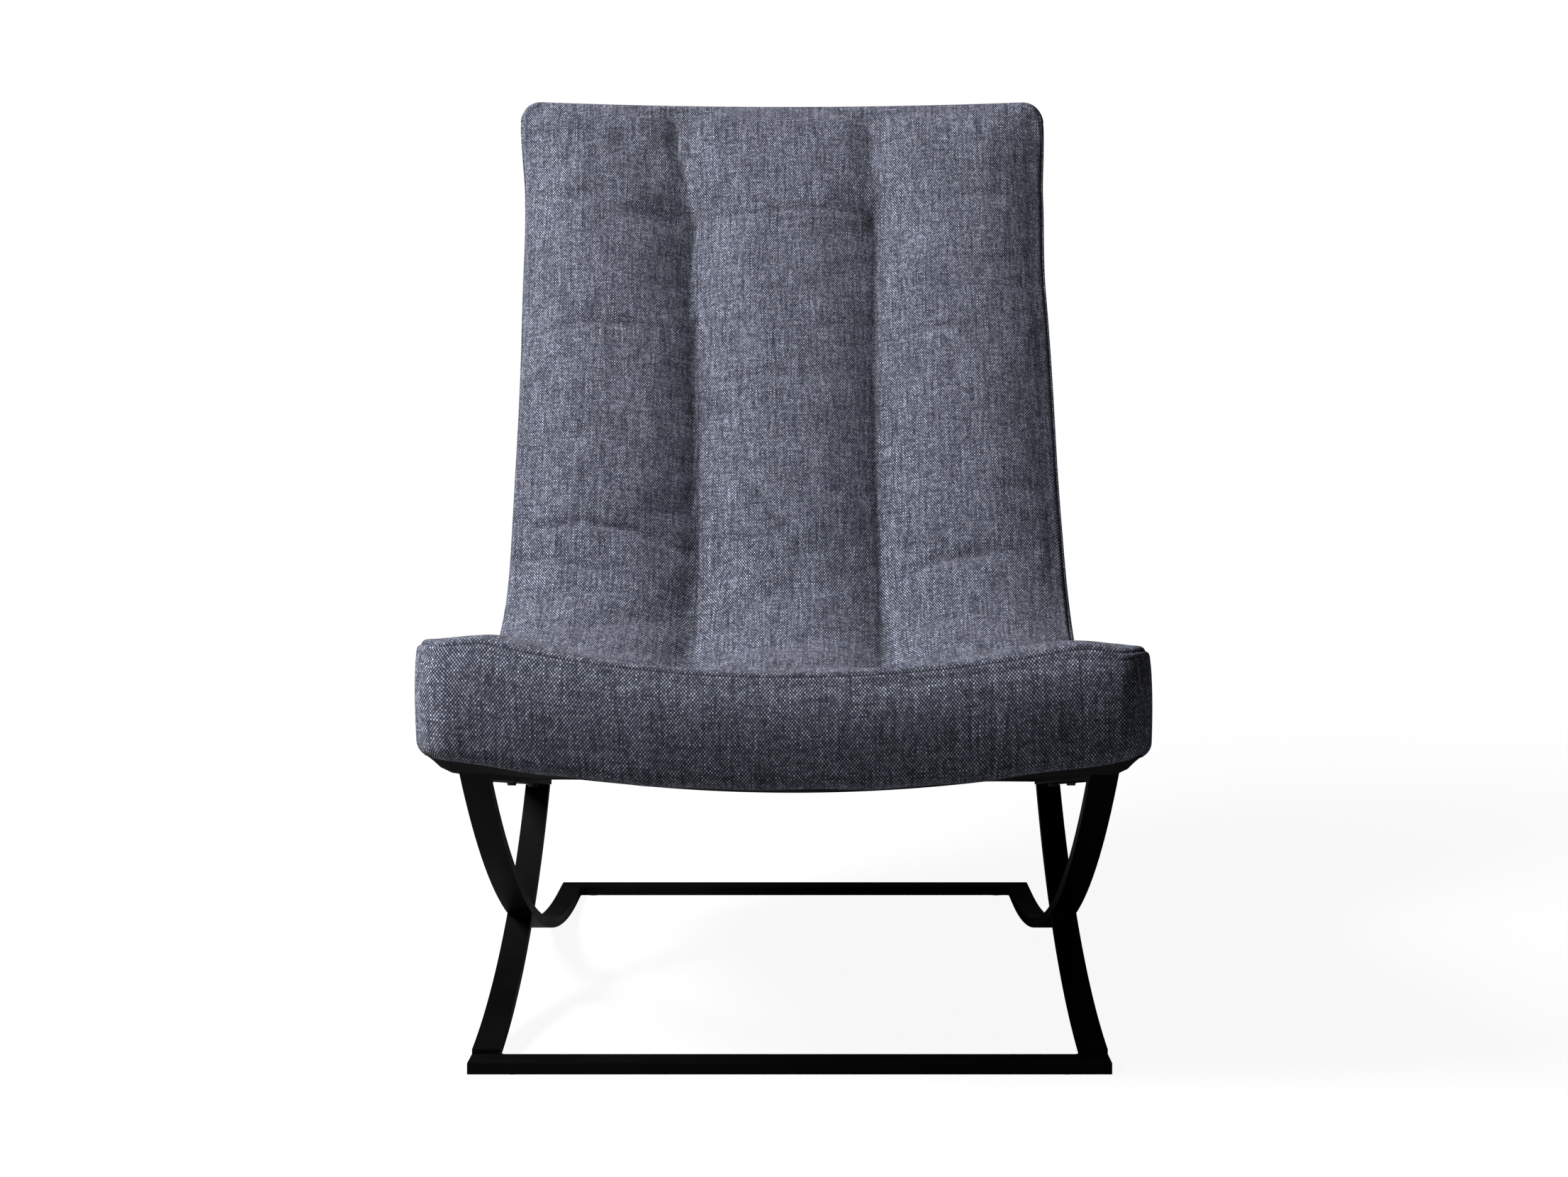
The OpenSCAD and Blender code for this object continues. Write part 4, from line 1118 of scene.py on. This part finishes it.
paint(["front_floor_rail", "rear_floor_rail", "left_long_bar", "right_long_bar",
       "left_front_leg", "right_front_leg", "left_rear_post", "right_rear_post",
       "left_seat_bearer", "right_seat_bearer", "crossing_welds", "rail_welds",
       "bearer_welds"], powder_coat())
paint(["floor_glides"], plain_cloth("felt", (0.01,) * 3, (0.03,) * 3, 900.0))
paint(["bearer_screws"], zinc("blackened zinc", (0.03, 0.03, 0.032), (0.05, 0.05, 0.054)))
paint(["frame_screws"], zinc("zinc plate", (0.42, 0.42, 0.43), (0.6, 0.6, 0.62)))
paint(["left_side_rail", "right_side_rail"],
      timber("birch plywood", (0.45, 0.30, 0.16), (0.62, 0.46, 0.28), (8, 1, 1)))
paint(["front_cross_rail", "seat_cross_rail", "lumbar_cross_rail", "top_cross_rail"],
      timber("sawn hardwood", (0.42, 0.27, 0.14), (0.56, 0.40, 0.23), (1, 8, 8)))
paint(["seat_webbing", "back_webbing"],
      plain_cloth("webbing", (0.02, 0.02, 0.018), (0.06, 0.06, 0.05), 1100.0))
paint(["front_edge_foam"], foam_material)
paint(["tuft_ties"], plain_cloth("waxed twine", (0.02, 0.02, 0.03), (0.06, 0.06, 0.08), 1500.0))


# --- Floor, light and camera ---

FLOOR_R, FLOOR_SIDES = 9, 96
FLOOR_DROP = 0.2 * MM
FLOOR_TONE = 0.11  # what the lamp adds to its glow near the chair
FLOOR_GLOW = 0.93
GLOW_FROM, GLOW_TO = 0.9, 2.2  # distance over which it turns into the backdrop
FLOOR_BOUNCE = 0.25  # its tone for all that isn't the camera
AMBIENT = 0.025
WHITE = (1, 1, 1, 1)

PHOTO_W, PHOTO_H = 2212, 1660
FOCAL_PX = 2692
AXIS_PX = 1141, 594
CAMERA_AWAY = 1.7  # in front of the floor rail
CAMERA_X, CAMERA_Z = 0.0171, 0.5829


def mix(tree, factor, a, b):
    """A mix of two shaders; returns its output."""
    n = node(tree, "ShaderNodeMixShader")
    for socket, source in zip(n.inputs, (factor, a, b)):
        tree.links.new(source, socket)
    return n.outputs[0]


def floor():
    """A round white floor whose far part glows like the backdrop."""
    turn = np.linspace(0, 2 * np.pi, FLOOR_SIDES + 1)[:-1]
    ring = np.stack([np.cos(turn), np.sin(turn), np.zeros_like(turn)], axis=-1) * FLOOR_R
    mesh = bpy.data.meshes.new("floor")
    mesh.from_pydata((ring - [0, 0, FLOOR_DROP]).tolist(), [], [list(range(FLOOR_SIDES))])
    obj = bpy.data.objects.new("floor", mesh)
    bpy.context.collection.objects.link(obj)
    m = bpy.data.materials.new("white floor")
    m.use_nodes = True
    t = m.node_tree
    t.nodes.clear()
    out = node(t, "ShaderNodeOutputMaterial")
    path = node(t, "ShaderNodeLightPath")
    lit = node(t, "ShaderNodeBsdfDiffuse", Color=(FLOOR_TONE,) * 3 + (1,))
    glow, white = (node(t, "ShaderNodeEmission", Color=WHITE, Strength=strength)
                   for strength in (FLOOR_GLOW, 1.0))
    both = node(t, "ShaderNodeAddShader")
    t.links.new(lit.outputs[0], both.inputs[0])
    t.links.new(glow.outputs[0], both.inputs[1])
    where = node(t, "ShaderNodeTexCoord")
    length = node(t, "ShaderNodeVectorMath", operation="LENGTH")
    t.links.new(where.outputs["Object"], length.inputs[0])
    far = span(t, length.outputs["Value"], GLOW_FROM, GLOW_TO)
    seen = mix(t, far, both.outputs[0], white.outputs[0])
    plain = node(t, "ShaderNodeBsdfDiffuse", Color=(FLOOR_BOUNCE,) * 3 + (1,))
    surface = mix(t, path.outputs["Is Camera Ray"], plain.outputs[0], seen)
    t.links.new(surface, out.inputs["Surface"])
    mesh.materials.append(m)


def sky():
    """World: white to the camera, and a dim even light on everything else."""
    world = bpy.data.worlds.new("studio")
    bpy.context.scene.world = world
    world.use_nodes = True
    t = world.node_tree
    t.nodes.clear()
    out = node(t, "ShaderNodeOutputWorld")
    path = node(t, "ShaderNodeLightPath")
    white, dim = (node(t, "ShaderNodeBackground", Color=WHITE, Strength=strength)
                  for strength in (1.0, AMBIENT))
    surface = mix(t, path.outputs["Is Camera Ray"], dim.outputs[0], white.outputs[0])
    t.links.new(surface, out.inputs["Surface"])


def softbox(azimuth, elevation, distance, width, height, power, aim):
    """A rectangular lamp that faces the aim from an azimuth (0 in front, + to the right)."""
    lamp = bpy.data.lights.new("key", "AREA")
    lamp.shape = "RECTANGLE"
    lamp.size, lamp.size_y = width, height
    lamp.energy = power
    obj = bpy.data.objects.new("key", lamp)
    a, e = math.radians(azimuth), math.radians(elevation)
    way = np.array([math.sin(a) * math.cos(e), -math.cos(a) * math.cos(e), math.sin(e)])
    obj.location = (np.array(aim) + distance * way).tolist()
    turn_z = math.atan2(way[1], way[0]) + math.pi / 2
    obj.rotation_euler = (math.pi / 2 - e, 0, turn_z)
    bpy.context.collection.objects.link(obj)


def camera():
    """Camera straight in front of the chair, at the height of the photograph's horizon.

    It looks straight back, and the shift puts its axis where the lines that run back meet.
    """
    data = bpy.data.cameras.new("camera")
    data.sensor_width = 36
    data.lens = FOCAL_PX / PHOTO_W * data.sensor_width
    data.shift_x = (PHOTO_W / 2 - AXIS_PX[0]) / PHOTO_W
    data.shift_y = (AXIS_PX[1] - PHOTO_H / 2) / PHOTO_W
    data.clip_end = 50
    obj = bpy.data.objects.new("camera", data)
    obj.location = (CAMERA_X, FRONT_Y - CAMERA_AWAY, CAMERA_Z)
    obj.rotation_euler = (math.pi / 2, 0, 0)
    bpy.context.collection.objects.link(obj)
    bpy.context.scene.camera = obj


floor()
sky()
softbox(azimuth=-68, elevation=38, distance=3.2, width=0.9, height=1.1, power=168,
        aim=(0, 0, 0.5))
camera()

bpy.context.scene.view_settings.view_transform = "Standard"
